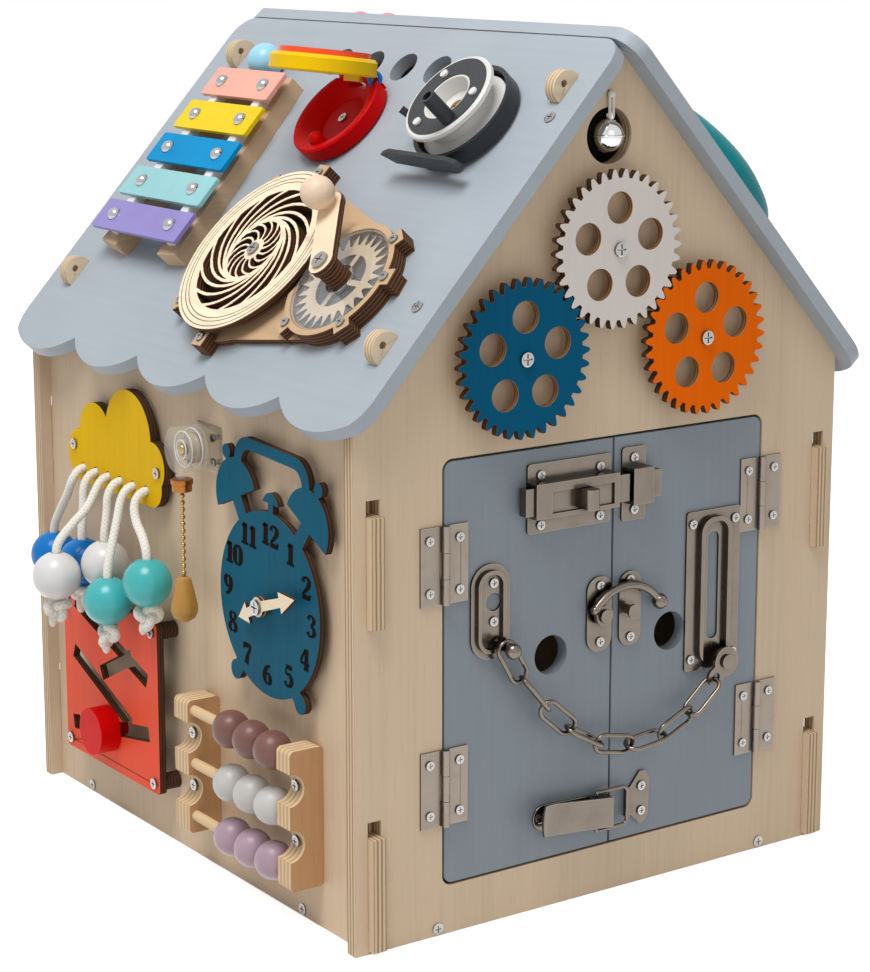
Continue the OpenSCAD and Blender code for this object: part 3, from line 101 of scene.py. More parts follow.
class Graph:
    """A node material with a few short calls."""

    def __init__(self, name, **sockets):
        self.mat = bpy.data.materials.new(name)
        self.mat.use_nodes = True
        self.tree = self.mat.node_tree
        self.bsdf = self.tree.nodes["Principled BSDF"]
        for key, value in sockets.items():
            self.bsdf.inputs[key.replace("_", " ")].default_value = value

    def add(self, kind, inputs=None, **props):
        """A new node; each input is linked if it is given a socket, and else set to the value."""
        node = self.tree.nodes.new(kind)
        for key, value in props.items():
            setattr(node, key, value)
        for key, value in (inputs or {}).items():
            if isinstance(value, bpy.types.NodeSocket):
                self.tree.links.new(value, node.inputs[key])
            else:
                node.inputs[key].default_value = value
        return node

    def out(self, socket, name):
        """Links a socket to an input of the surface."""
        self.tree.links.new(socket, self.bsdf.inputs[name])

    def coords(self, scale=(1, 1, 1)):
        """The object's own coordinates in metres, scaled along each axis."""
        tc = self.add("ShaderNodeTexCoord")
        place = self.add("ShaderNodeMapping", {"Vector": tc.outputs["Object"], "Scale": scale})
        return place.outputs["Vector"]

    def noise(self, vec, scale=1.0, detail=3.0, rough=0.55, distort=0.0):
        return self.add("ShaderNodeTexNoise", {"Vector": vec, "Scale": scale, "Detail": detail,
                                               "Roughness": rough, "Distortion": distort}).outputs["Fac"]

    def math(self, op, a, b=0.0, c=0.0):
        return self.add("ShaderNodeMath", {0: a, 1: b, 2: c}, operation=op).outputs[0]

    def along(self, vec, axis):
        """How far a vector goes along an axis."""
        return self.add("ShaderNodeVectorMath", {0: vec, 1: tuple(axis)},
                        operation="DOT_PRODUCT").outputs["Value"]

    def ramp(self, fac, stops):
        """A colour ramp with the given (position, colour) stops."""
        node = self.add("ShaderNodeValToRGB", {"Fac": fac})
        band = node.color_ramp
        while len(band.elements) < len(stops):
            band.elements.new(0.5)
        for el, (pos, col) in zip(band.elements, stops):
            el.position = pos
            el.color = col
        return node.outputs["Color"]

    def mix(self, fac, a, b):
        """Colour a where fac is 0 and colour b where it is 1."""
        return self.add("ShaderNodeMix", {0: fac, 6: a, 7: b}, data_type="RGBA").outputs[2]

    def rough(self, fac, low, high):
        """Spreads the middle of a noise over a range of roughness."""
        node = self.add("ShaderNodeMapRange", {"Value": fac, "From Min": 0.3, "From Max": 0.7,
                                               "To Min": low, "To Max": high})
        self.out(node.outputs["Result"], "Roughness")

    def bump(self, height, strength, distance=0.0005):
        node = self.add("ShaderNodeBump", {"Height": height, "Strength": strength,
                                           "Distance": distance})
        self.out(node.outputs["Normal"], "Normal")


# noise scale along each axis, for wood whose grain runs along x, y or z
GRAIN = {"x": (9, 330, 330), "y": (330, 9, 330), "z": (330, 330, 9)}


def wood(name, base, grain="z", contrast=0.10, rough=(0.5, 0.66), depth=0.22, well=None):
    """Sanded birch: long pale streaks, short pore flecks and slow tone changes.

    A well (centre, radius in mm, colour) is a round area of another colour.
    """
    g = Graph(name, Specular_IOR_Level=0.3)
    s = GRAIN[grain]
    streak = g.noise(g.coords(s), 1.0, 4.0, 0.62, 0.6)
    slow = g.noise(g.coords(tuple(v * 0.11 for v in s)), 1.0, 2.0, 0.5, 0.8)
    fleck = g.noise(g.coords(tuple(v * 3.2 for v in s)), 1.0, 2.0, 0.7)
    tone = g.math("MULTIPLY_ADD", streak, 0.55, g.math("MULTIPLY", slow, 0.45))
    body = g.ramp(tone, [(0.30, shade(base, 1 - 1.6 * contrast)), (0.48, base),
                         (0.72, shade(base, 1 + contrast))])
    pores = g.ramp(fleck, [(0.30, (1, 1, 1, 1)), (0.36, (0, 0, 0, 1))])
    dark = tuple(c * k for c, k in zip(base[:3], (0.72, 0.62, 0.52))) + (1.0,)
    body = g.mix(g.math("MULTIPLY", pores, 0.35), body, dark)
    if well:
        centre, radius, colour = well
        far = g.add("ShaderNodeVectorMath", {0: g.coords(), 1: tuple(centre)}, operation="DISTANCE")
        body = g.mix(g.math("LESS_THAN", far.outputs["Value"], radius * MM), body, colour)
    g.out(body, "Base Color")
    g.rough(streak, *rough)
    g.bump(g.math("MULTIPLY_ADD", fleck, 0.5, streak), depth, 0.0004)
    return g.mat


def layered(name, pale, dark, axis, period=2.6, rough=0.62, burnt=0.0):
    """Cut plywood edge: thin layers across the panel, alternately along and across the grain."""
    g = Graph(name, Specular_IOR_Level=0.25, Roughness=rough)
    co = g.coords()
    wob = g.noise(co, 60.0, 2.0)
    waves = 2 * math.pi / (period * MM)
    t = g.math("MULTIPLY_ADD", g.along(co, axis), waves, g.math("MULTIPLY", wob, 1.4))
    band = g.math("MULTIPLY_ADD", g.math("SINE", t), 0.5, 0.5)
    grit = g.noise(co, 900.0, 3.0, 0.7)
    cloud = g.noise(co, 45.0, 2.0)
    body = g.ramp(band, [(0.28, dark), (0.55, pale), (0.9, shade(pale, 1.06))])
    spots = g.mix(g.math("MULTIPLY", grit, 0.35), body, shade(dark, 0.8))
    if burnt:
        spots = g.mix(g.math("MULTIPLY", cloud, burnt), spots, rgb(30, 17, 10))
    g.out(spots, "Base Color")
    g.bump(g.math("MULTIPLY_ADD", grit, 0.7, band), 0.35, 0.0003)
    return g.mat


def paint(name, colour, rough=(0.42, 0.56), grain="z", grain_depth=0.10, vary=0.035, spec=0.22):
    """Brushed or sprayed paint over plywood: faint grain telegraphing, tiny specks, soft sheen."""
    g = Graph(name, Specular_IOR_Level=spec)
    s = GRAIN[grain]
    streak = g.noise(g.coords(s), 1.0, 3.0, 0.6, 0.4)
    slow = g.noise(g.coords((14, 14, 14)), 1.0, 3.0, 0.55)
    peel = g.noise(g.coords((900, 900, 900)), 1.0, 2.0, 0.6)
    tone = g.math("MULTIPLY_ADD", streak, 0.4, g.math("MULTIPLY", slow, 0.6))
    g.out(g.ramp(tone, [(0.3, shade(colour, 1 - 2 * vary)), (0.5, colour),
                        (0.7, shade(colour, 1 + 1.5 * vary))]), "Base Color")
    g.rough(slow, *rough)
    g.bump(g.math("MULTIPLY_ADD", peel, 0.5, streak), grain_depth, 0.0003)
    return g.mat


def lacquer(name, colour, rough=(0.26, 0.4), coat=0.1, vary=0.05, spec=0.28):
    """Turned wooden bead or moulded shell under a soft gloss lacquer."""
    g = Graph(name, Specular_IOR_Level=spec, Coat_Weight=coat, Coat_Roughness=0.18)
    slow = g.noise(g.coords((40, 40, 40)), 1.0, 3.0, 0.55)
    peel = g.noise(g.coords((700, 700, 700)), 1.0, 2.0, 0.5)
    g.out(g.ramp(slow, [(0.3, shade(colour, 1 - vary)), (0.5, colour),
                        (0.7, shade(colour, 1 + vary))]), "Base Color")
    g.rough(peel, *rough)
    g.bump(peel, 0.02, 0.0003)
    return g.mat


def metal(name, colour, rough=(0.2, 0.36), brush=(60, 900, 900), depth=0.10, wear=0.16, painted_shade=0.0):
    """Plated steel: drawn lines, uneven polish and dull marks; the last argument turns on painted shade
    in the corners and painted highlights on the edges, and sets how dark the shade is.
    """
    g = Graph(name, Metallic=1.0)
    line = g.noise(g.coords(brush), 1.0, 3.0, 0.6)
    slow = g.noise(g.coords((70, 70, 70)), 1.0, 4.0, 0.6)
    body = g.ramp(slow, [(0.25, shade(colour, 1 - wear)), (0.5, colour),
                         (0.75, shade(colour, 1 + wear * 0.6))])
    if painted_shade:
        # painted shade: the colour darkens where ambient occlusion finds surfaces close by, in corners
        # and crevices
        open_sky = g.add("ShaderNodeAmbientOcclusion", {"Distance": 6 * MM}, samples=6).outputs["AO"]
        corner_shade = g.ramp(open_sky, [(0.3, (1, 1, 1, 1)), (0.92, (0, 0, 0, 1))])
        # painted highlight: the colour brightens where the bevelled normal bends away from the flat one,
        # along the edges
        round_n = g.add("ShaderNodeBevel", {"Radius": 0.9 * MM}, samples=4).outputs["Normal"]
        flat_n = g.add("ShaderNodeNewGeometry").outputs["Normal"]
        bend = g.add("ShaderNodeVectorMath", {0: round_n, 1: flat_n},
                     operation="DOT_PRODUCT").outputs["Value"]
        edge_highlight = g.ramp(bend, [(0.8, (1, 1, 1, 1)), (0.985, (0, 0, 0, 1))])
        body = g.mix(g.math("MULTIPLY", edge_highlight, 0.55), body, shade(colour, 1.9))
        body = g.mix(g.math("MULTIPLY", corner_shade, painted_shade), body, shade(colour, 0.14))
    g.out(body, "Base Color")
    g.rough(g.math("MULTIPLY_ADD", line, 0.4, g.math("MULTIPLY", slow, 0.6)), *rough)
    g.bump(line, depth, 0.0002)
    return g.mat


def flow_marks(g, rough, strength, distance):
    """Slow waves in the gloss and the surface of moulded plastic."""
    flow = g.noise(g.coords((160, 160, 160)), 1.0, 2.0, 0.5)
    g.rough(flow, rough * 0.6, rough * 1.8)
    g.bump(flow, strength, distance)
    return g.mat


def clear(name, colour, rough=0.08, ior=1.47):
    """Solid clear plastic, which bends the light."""
    g = Graph(name, IOR=ior, Transmission_Weight=0.95, Roughness=rough, Base_Color=colour)
    return flow_marks(g, rough, 0.12, 0.0006)


def shell(name, colour, alpha, rough=0.14):
    """Thin clear plastic seen as its two skins: partly see-through, with gloss and faint flow marks."""
    g = Graph(name, Base_Color=colour, Alpha=alpha, Specular_IOR_Level=0.6)
    return flow_marks(g, rough, 0.08, 0.0005)


BRAID_ALONG, BRAID_ROUND = 2600.0, 25.13  # strand waves, in radians per metre of cord and per turn


def rope_material():
    """Soft braided cotton: two families of strands crossing along the cord, with fuzz."""
    g = Graph("rope_cotton", Specular_IOR_Level=0.15, Sheen_Weight=0.35, Sheen_Roughness=0.5)
    uv = g.add("ShaderNodeUVMap", uv_map="UVMap").outputs["UV"]
    sep = g.add("ShaderNodeSeparateXYZ", {"Vector": uv})
    u, v = sep.outputs["X"], sep.outputs["Y"]
    a = g.math("SINE", g.math("MULTIPLY_ADD", u, BRAID_ALONG, g.math("MULTIPLY", v, BRAID_ROUND)))
    b = g.math("SINE", g.math("MULTIPLY_ADD", u, BRAID_ALONG, g.math("MULTIPLY", v, -BRAID_ROUND)))
    braid = g.math("MULTIPLY_ADD", g.math("MAXIMUM", a, b), 0.5, 0.5)
    fuzz = g.noise(g.coords((1500, 1500, 1500)), 1.0, 4.0, 0.7)
    body = g.ramp(braid, [(0.1, rgb(214, 209, 198)), (0.6, rgb(230, 226, 216)),
                          (1.0, rgb(236, 233, 225))])
    g.out(g.mix(g.math("MULTIPLY", fuzz, 0.2), body, rgb(216, 211, 200)), "Base Color")
    g.rough(fuzz, 0.8, 0.95)
    g.bump(g.math("MULTIPLY_ADD", fuzz, 0.6, braid), 0.16, 0.0004)
    return g.mat


RING_HALF = 0.00032  # half the width of an engraved circle, in metres


def disc_wood(name, base, centre, rings):
    """Pale laser-cut ply with thin engraved circles, radii in mm, about a centre on the roof."""
    g = Graph(name, Specular_IOR_Level=0.3)
    co = g.coords()
    away = g.add("ShaderNodeVectorMath", {0: co, 1: tuple(centre)}, operation="SUBTRACT").outputs[0]
    px, py = g.along(away, AY), g.along(away, ROOF_UP)
    r = g.math("SQRT", g.math("MULTIPLY_ADD", px, px, g.math("MULTIPLY", py, py)))
    line = 0.0
    for ring in rings:
        near = g.math("LESS_THAN", g.math("ABSOLUTE", g.math("SUBTRACT", r, ring * MM)), RING_HALF)
        line = g.math("MAXIMUM", near, line)
    streak = g.noise(g.coords(GRAIN["y"]), 1.0, 4.0, 0.62, 0.6)
    body = g.ramp(streak, [(0.3, shade(base, 0.84)), (0.5, base), (0.72, shade(base, 1.08))])
    g.out(g.mix(g.math("MULTIPLY", line, 0.85), body, rgb(70, 42, 24)), "Base Color")
    g.rough(streak, 0.5, 0.66)
    g.bump(g.math("SUBTRACT", streak, line), 0.25, 0.0004)
    return g.mat


PLY = rgb(209, 186, 158)
EDGE_PALE, EDGE_DARK = rgb(216, 194, 164), rgb(164, 132, 98)
DISC_CENTRE, DISC_RINGS = roof(-26, 175.6), (47.2, 49.6, 52.8)
CRANK_WELL = (roof(-112.5, 180.5, 4), 31.5, rgb(104, 104, 108))
M = {
    "birch": wood("birch_ply", PLY, "z", 0.07),
    "birch_floor": wood("birch_floor", PLY, "y", 0.07),
    "ply_x": layered("ply_edge_x", EDGE_PALE, EDGE_DARK, AX, 2.6),
    "ply_y": layered("ply_edge_y", EDGE_PALE, EDGE_DARK, AY, 2.6),
    "ply_z": layered("ply_edge_z", EDGE_PALE, EDGE_DARK, AZ, 2.6),
    "post_edge": layered("post_edge", rgb(222, 196, 160), rgb(198, 164, 124), AY, 3.6),
    "post": wood("post_wood", rgb(190, 148, 106), "z", 0.10),
    "rod": wood("rod_wood", rgb(218, 188, 148), "y", 0.10),
    "eyelet": layered("eyelet_layers", rgb(220, 200, 170), rgb(186, 156, 118), AY, 2.4),
    "eyelet_face": wood("eyelet_face", rgb(218, 198, 168), "x", 0.08),
    "roof": paint("roof_paint", rgb(163, 171, 179), (0.4, 0.55), "y"),
    "door": paint("door_paint", rgb(134, 142, 150), (0.36, 0.5), "z"),
    "burnt_x": layered("burnt_edge_x", rgb(104, 70, 44), rgb(52, 32, 20), AX, 1.9, 0.7, 0.7),
    "burnt_y": layered("burnt_edge_y", rgb(112, 76, 48), rgb(56, 34, 20), AY, 1.9, 0.7, 0.7),
    "hole_edge": layered("gear_hole_edge", rgb(168, 124, 84), rgb(104, 70, 44), AY, 1.9, 0.7, 0.25),
    "cord": lacquer("bell_cord", rgb(226, 220, 208), (0.7, 0.85), 0.0, 0.05, 0.2),
    "burnt_roof": layered("burnt_edge_roof", rgb(126, 84, 52), rgb(58, 34, 20), ROOF_N, 2.2, 0.7, 0.6),
    "blue": paint("gear_blue", rgb(2, 82, 114), (0.42, 0.55), "z", 0.2, 0.08, 0.05),
    "white": paint("gear_white", rgb(214, 206, 199), (0.45, 0.58), "z", 0.16, 0.03),
    "orange": paint("gear_orange", rgb(232, 102, 0), (0.42, 0.55), "z", 0.18, 0.05, 0.05),
    "clock": paint("clock_blue", rgb(14, 86, 110), (0.45, 0.58), "z", 0.22, 0.10, 0.05),
    "cloud": paint("cloud_yellow", rgb(226, 180, 0), (0.4, 0.55), "z", 0.2, 0.05, 0.05),
    "maze": paint("maze_red", rgb(228, 82, 52), (0.4, 0.55), "z", 0.18, 0.05, 0.10),
    "hand": wood("hand_wood", rgb(238, 220, 190), "y", 0.05),
    "numeral": paint("numeral_burnt", rgb(24, 15, 10), (0.7, 0.85), "z", 0.3, 0.25, 0.04),
    # the steel, nickel, hinge and cap metals get painted shade in their corners and painted highlights on
    # their edges
    "steel": metal("steel_fixings", rgb(166, 164, 162), (0.14, 0.3), painted_shade=0.75),
    "nickel": metal("latch_nickel", rgb(118, 109, 100), (0.14, 0.3), (900, 900, 70), painted_shade=0.85),
    "leaf": metal("hinge_nickel", rgb(136, 125, 115), (0.22, 0.4), (900, 900, 60), painted_shade=0.6),
    "cap": metal("cap_steel", rgb(182, 182, 184), (0.06, 0.16), (200, 200, 200), 0.04, 0.08, 0.95),
    "chrome": metal("bell_chrome", rgb(214, 214, 214), (0.06, 0.16), (200, 200, 200), 0.04, 0.08),
    "brass": metal("switch_brass", rgb(168, 138, 84), (0.2, 0.36), (300, 300, 300), 0.06),
    "amber": metal("collar_brass", rgb(152, 98, 46), (0.22, 0.38), (900, 900, 120), 0.2),
    "knob_red": lacquer("knob_red", rgb(210, 4, 4), (0.36, 0.48), 0.0, 0.05, 0.08),
    "bead_blue": lacquer("bead_blue", rgb(0, 112, 188), coat=0.2, spec=0.1),
    "bead_white": lacquer("bead_white", rgb(214, 212, 211), coat=0.3),
    "bead_teal": lacquer("bead_teal", rgb(64, 174, 175), coat=0.3),
    "ab_top": lacquer("abacus_mauve", rgb(121, 84, 76), (0.3, 0.44)),
    "ab_mid": lacquer("abacus_white", rgb(192, 189, 186), (0.3, 0.44)),
    "ab_low": lacquer("abacus_lilac", rgb(170, 144, 158), (0.3, 0.44)),
    "bob": wood("bob_wood", rgb(174, 130, 62), "z", 0.10, (0.4, 0.55)),
    "rail": wood("xylo_rail", rgb(196, 166, 134), "x", 0.12),
    "strip": lacquer("xylo_strip", rgb(222, 222, 220), (0.4, 0.5), 0.1),
    "bar1": lacquer("xylo_peach", rgb(232, 166, 146), (0.28, 0.38), 0.15),
    "bar2": lacquer("xylo_yellow", rgb(234, 198, 4), (0.3, 0.4), 0.0, 0.05, 0.14),
    "bar3": lacquer("xylo_blue", rgb(0, 138, 194), (0.34, 0.44), 0.0, 0.05, 0.05),
    "bar4": lacquer("xylo_turquoise", rgb(140, 196, 200), (0.28, 0.38), 0.15),
    "bar5": lacquer("xylo_purple", rgb(136, 124, 190), (0.28, 0.38), 0.15),
    "shell_red": lacquer("clapper_red", rgb(196, 2, 6), (0.36, 0.48), 0.0, 0.05, 0.06),
    "shell_yellow": lacquer("clapper_yellow", rgb(230, 186, 0), (0.28, 0.4), 0.0, 0.05, 0.14),
    "shell_orange": lacquer("clapper_orange", rgb(236, 82, 30), (0.28, 0.4), 0.15),
    "ball": lacquer("ball_light_blue", rgb(150, 204, 226)),
    "dome": lacquer("dome_teal", rgb(0, 124, 130), (0.36, 0.48), 0.0, 0.05, 0.12),
    "pink": lacquer("peg_pink", rgb(236, 118, 130)),
    "black": lacquer("reel_black", rgb(40, 42, 47), (0.34, 0.5), 0.1, 0.12),
    "reel_white": lacquer("reel_white", rgb(214, 212, 208), (0.3, 0.42), 0.15, 0.03),
    "window": clear("clear_window", rgb(244, 246, 247), 0.05),
    "switch": shell("switch_shell", rgb(232, 228, 216), 0.15),
    "core": lacquer("switch_core", rgb(176, 160, 138), (0.2, 0.34), 0.3, 0.16),
    "disc": disc_wood("disc_wood", rgb(245, 224, 194), DISC_CENTRE, DISC_RINGS),
    "base_ply": wood("spiral_base_wood", rgb(194, 162, 128), "y", 0.08, well=CRANK_WELL),
    "crank_wood": wood("crank_wood", rgb(238, 213, 182), "y", 0.08),
    "knob_wood": wood("knob_wood", rgb(227, 200, 172), "y", 0.05, (0.36, 0.5)),
    "elastic": lacquer("elastic_blue", rgb(0, 120, 214), (0.5, 0.65), 0.0, 0.08),
    "rope": rope_material(),
}


# ---------------------------------------------------------------- dressing the CAD nodes
SHARP = math.radians(38)  # edges that turn more than this are bevelled and split
FLAT = 0.9  # a face looks along a direction when its normal has at least this much of it


def faces(axis):
    """A test for the faces that look along an axis, either way."""
    return lambda c, n: abs(n.dot(axis)) > FLAT


def facing(axis):
    """A test for the faces that look along a direction."""
    return lambda c, n: n.dot(axis) > FLAT


def other(c, n):
    """The test of the last rule: every face that is left."""
    return True


def dress(node, *rules, bevel=0.35, segments=2):
    """Gives each polygon the first material whose test it passes, and softens the hard edges.

    A rule is a material's key in M and a test of the polygon's centre and normal.
    """
    obj = nodes[node]
    mesh = obj.data
    mesh.materials.clear()
    used = []
    for mat, _ in rules:
        if mat not in used:
            used.append(mat)
            mesh.materials.append(M[mat])
    for poly in mesh.polygons:
        poly.use_smooth = True
        for mat, test in rules:
            if test(poly.center, poly.normal):
                poly.material_index = used.index(mat)
                break
    soften(obj, bevel, segments)


def soften(obj, bevel, segments):
    """Joins the mesh, rounds its hard edges by bevel mm (0 leaves them) and evens its normals."""
    weld = obj.modifiers.new("weld", "WELD")
    weld.merge_threshold = 0.00001
    if bevel:
        mod = obj.modifiers.new("edge", "BEVEL")
        mod.width = bevel * MM
        mod.segments = segments
        mod.limit_method = "ANGLE"
        mod.angle_limit = SHARP
        mod.use_clamp_overlap = True
    split = obj.modifiers.new("split", "EDGE_SPLIT")
    split.split_angle = SHARP
    split.use_edge_sharp = False
    normal = obj.modifiers.new("normals", "WEIGHTED_NORMAL")
    normal.weight = 80


def height(c):
    """Millimetres above the left roof face."""
    return (Vector(c) - Vector((0, 0, RIDGE * MM))).dot(ROOF_N) / MM


def slope(c):
    """Millimetres down the left roof from the ridge."""
    return -(Vector(c) - Vector((0, 0, RIDGE * MM))).dot(ROOF_UP) / MM


# nodes of one material: the material, bevel in mm, bevel segments, and the nodes
PLAIN = (
    ("roof", 1.2, 3, ("left_roof", "right_roof")),
    ("door", 1.0, 3, ("left_door", "right_door")),
    ("leaf", 0.25, 2, ("wall_hinge_leaves", "left_hinge_leaves", "right_hinge_leaves")),
    ("steel", 0.2, 2, ("left_door_screws", "right_door_screws")),
    ("nickel", 0.6, 3, ("bolt_housing", "hook_base", "chain_anchor", "toggle_base", "door_keepers",
                        "chain_track", "bolt_slide", "hook_arm", "toggle_lever", "toggle_loop")),
    ("nickel", 0, 2, ("door_chain",)),
    ("bead_blue", 0.5, 2, ("blue_beads",)),
    ("bead_white", 0.5, 2, ("white_beads",)),
    ("bead_teal", 0.5, 2, ("teal_beads",)),
    ("switch", 0.5, 2, ("switch_body",)),
    ("amber", 0.4, 2, ("switch_collar",)),
    ("brass", 0, 2, ("pull_chain",)),
    ("bob", 0.6, 3, ("pull_knob",)),
    ("knob_red", 1.2, 3, ("maze_knob",)),
    ("ab_top", 0.4, 2, ("abacus_beads_top",)),
    ("ab_mid", 0.4, 2, ("abacus_beads_middle",)),
    ("ab_low", 0.4, 2, ("abacus_beads_bottom",)),
    ("shell_red", 0.6, 3, ("clapper_base",)),
    ("black", 0.6, 2, ("reel_frame",)),
    ("window", 0.2, 2, ("crank_cover",)),
)
for material, bevel, segments, group in PLAIN:
    for node in group:
        dress(node, (material, other), bevel=bevel, segments=segments)

# plywood panels and painted boards
for wall in ("front_wall", "back_wall"):
    dress(wall, ("birch", faces(AY)), ("ply_y", other), bevel=0.5)
for wall in ("left_wall", "right_wall"):
    dress(wall, ("birch", faces(AX)), ("ply_x", other), bevel=0.5)
dress("floor_panel", ("birch_floor", faces(AZ)), ("ply_z", other))
for node, colour in (("cloud_board", "cloud"), ("clock_face", "clock"), ("maze_board", "maze")):
    dress(node, (colour, facing(-AX)), ("burnt_x", other), bevel=0.25)
for node in ("hour_hand", "minute_hand"):
    dress(node, ("hand", faces(AX)), ("burnt_x", other), bevel=0.15)

# gears: the outer two hang on a slanting line on each side of the white one
GEAR_X, GEAR_Z = -3.0, 361.0
GEAR_STEP, GEAR_FALL = 80.8, math.radians(40.6)
GEAR_DX, GEAR_DZ = GEAR_STEP * math.cos(GEAR_FALL), GEAR_STEP * math.sin(GEAR_FALL)
HUBS = {"white": (GEAR_X, GEAR_Z), "blue": (GEAR_X - GEAR_DX, GEAR_Z - GEAR_DZ),
        "orange": (GEAR_X + GEAR_DX, GEAR_Z - GEAR_DZ)}
HOLES_WITHIN = 0.032  # metres from the axle; the faces beyond are the teeth


def gear_hole(hub):
    """A test for the faces inside a gear's ring of holes."""
    return lambda c, n: math.hypot(c.x - hub[0] * MM, c.z - hub[1] * MM) < HOLES_WITHIN


for colour, hub in HUBS.items():
    dress(f"{colour}_gear", (colour, facing(-AY)), ("birch", facing(AY)), ("hole_edge", gear_hole(hub)),
          ("burnt_y", other), bevel=0.2)

BELL_X = -3
CORD_Z, LOOP_Z = 0.4332, 0.4275  # all is cord above the first, and cord and ring down to the second
LOOP_OUT, LOOP_SIDE = 0.75, 0.62  # there the cord is what lies this far out and to the sides, in mm


def bell_cord(c, n):
    """The cord from which the bell hangs."""
    out = (FRONT_Y * MM - c.y) / MM
    return c.z > CORD_Z or (c.z > LOOP_Z and out > LOOP_OUT and abs(c.x / MM - BELL_X) > LOOP_SIDE)


dress("bell", ("cord", bell_cord), ("chrome", other), bevel=0.15)

ROD_Z, ROD_OUT, ROD_NEAR = (0.097, 0.066, 0.035), 16.5, 0.0032
ROD_ENDS = (-0.1237, -0.0293)


def is_rod(c, n):
    """The abacus rods, between the posts."""
    off = min(abs(c.z - z) for z in ROD_Z)
    in_line = abs(c.x - (LEFT_X - ROD_OUT) * MM) < ROD_NEAR
    return off < ROD_NEAR and in_line and ROD_ENDS[0] < c.y < ROD_ENDS[1]


dress("abacus_frame", ("rod", is_rod), ("post", faces(AY)), ("post_edge", other), bevel=0.5)

# roof: heights in mm above its face tell the parts of a node from each other
REEL = roof(-118.5, 68.3)
REEL_SCREW_R, REEL_SCREW_H = 0.0185, 13.5
CAP_H, CAP_Y = (19.3, 23.4), (0.04, 0.16)
STRIP_H = 11.05
BARS, BAR_HALF = (69.5, 95.6, 121.7, 147.8, 173.9), 12


def xylo_cap(c, n):
    """The caps of the xylophone's screws."""
    return CAP_H[0] < height(c) < CAP_H[1] and CAP_Y[0] < c.y < CAP_Y[1]


def reel_screw(c, n):
    """The head of the reel's axle."""
    return (Vector(c) - REEL).length < REEL_SCREW_R and height(c) > REEL_SCREW_H


def on_bar(s):
    """A test for the faces of the bar that lies s mm down the slope."""
    return lambda c, n: abs(slope(c) - s) < BAR_HALF


dress("house_screws", ("cap", xylo_cap), ("brass", reel_screw), ("steel", other), bevel=0.2)
dress("xylophone_frame", ("strip", lambda c, n: height(c) > STRIP_H), ("rail", other), bevel=0.6)
dress("xylophone_bars", *[(f"bar{i}", on_bar(s)) for i, s in enumerate(BARS, 1)], bevel=0.5)
dress("roof_eyelets", ("eyelet_face", faces(AY)), ("eyelet", other), bevel=0.4)
dress("roof_knobs", ("ball", lambda c, n: c.x < 0), ("dome", lambda c, n: c.y < 0), ("pink", other),
      bevel=0.6)

LID = math.radians(54.5)
LID_N = ROOF_N * math.cos(LID) + ROOF_UP * math.sin(LID)
LID_HINGE = roof(0, 75 - 23.5, 11)
LID_DISC_H = 10.45


def lid_disc(c, n):
    """The orange disc on the clapper's open lid."""
    return (Vector(c) - LID_HINGE).dot(LID_N) / MM > LID_DISC_H


dress("clapper_lid", ("shell_orange", lid_disc), ("shell_yellow", other), bevel=0.5, segments=3)

GRIP, GRIP_AT, GRIP_R = math.radians(-43), 20.8, 4.8  # the reel handle's grip: its angle, arm and reach
CRANK_H, GRIP_H = 25.8, 24.45
RING_H, RING_R = (22.95, 24.52), (15.2, 26.1)


def spool_black(c, n):
    """The reel's handle, grip and face ring."""
    d = Vector(c) - REEL
    r = (d - ROOF_N * d.dot(ROOF_N)).length / MM
    h = height(c)
    grip = d - (Vector((0, -GRIP_AT * math.cos(GRIP), 0)) + ROOF_UP * GRIP_AT * math.sin(GRIP)) * MM
    near_grip = (grip - ROOF_N * grip.dot(ROOF_N)).length / MM < GRIP_R
    on_ring = RING_H[0] < h < RING_H[1] and RING_R[0] < r < RING_R[1]
    return h > CRANK_H or (h > GRIP_H and near_grip) or on_ring


dress("reel_spool", ("black", spool_black), ("reel_white", other), bevel=0.3)

DISC_H, KNOB_H = 14, 25.05


def disc_top(c, n):
    """The upper face of the spiral disc, without the floors of its slots."""
    return n.dot(ROOF_N) > FLAT and height(c) > DISC_H


dress("spiral_base", ("base_ply", facing(ROOF_N)), ("burnt_roof", other), bevel=0.2)
dress("spiral_disc", ("disc", disc_top), ("burnt_roof", other), bevel=0.12, segments=1)
dress("crank", ("knob_wood", lambda c, n: height(c) > KNOB_H), ("crank_wood", faces(ROOF_N)),
      ("burnt_roof", other), bevel=0.2)


# ---------------------------------------------------------------- pieces of their own
def mesh_piece(name, verts, polys, material, body, slot, smooth=True, uvs=None):
    """A piece that Blender adds to the part, with its material and body (or none); the slot is not used.
    """
    mesh = bpy.data.meshes.new(name)
    mesh.from_pydata([tuple(v) for v in verts], [], polys)
    mesh.validate()
    if uvs:
        layer = mesh.uv_layers.new(name="UVMap")
        for loop in mesh.loops:
            layer.data[loop.index].uv = uvs[loop.vertex_index]
    mesh.materials.append(M[material])
    for poly in mesh.polygons:
        poly.use_smooth = smooth
    obj = bpy.data.objects.new(name, mesh)
    scene.collection.objects.link(obj)
    if body:
        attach(obj, body)
    return obj


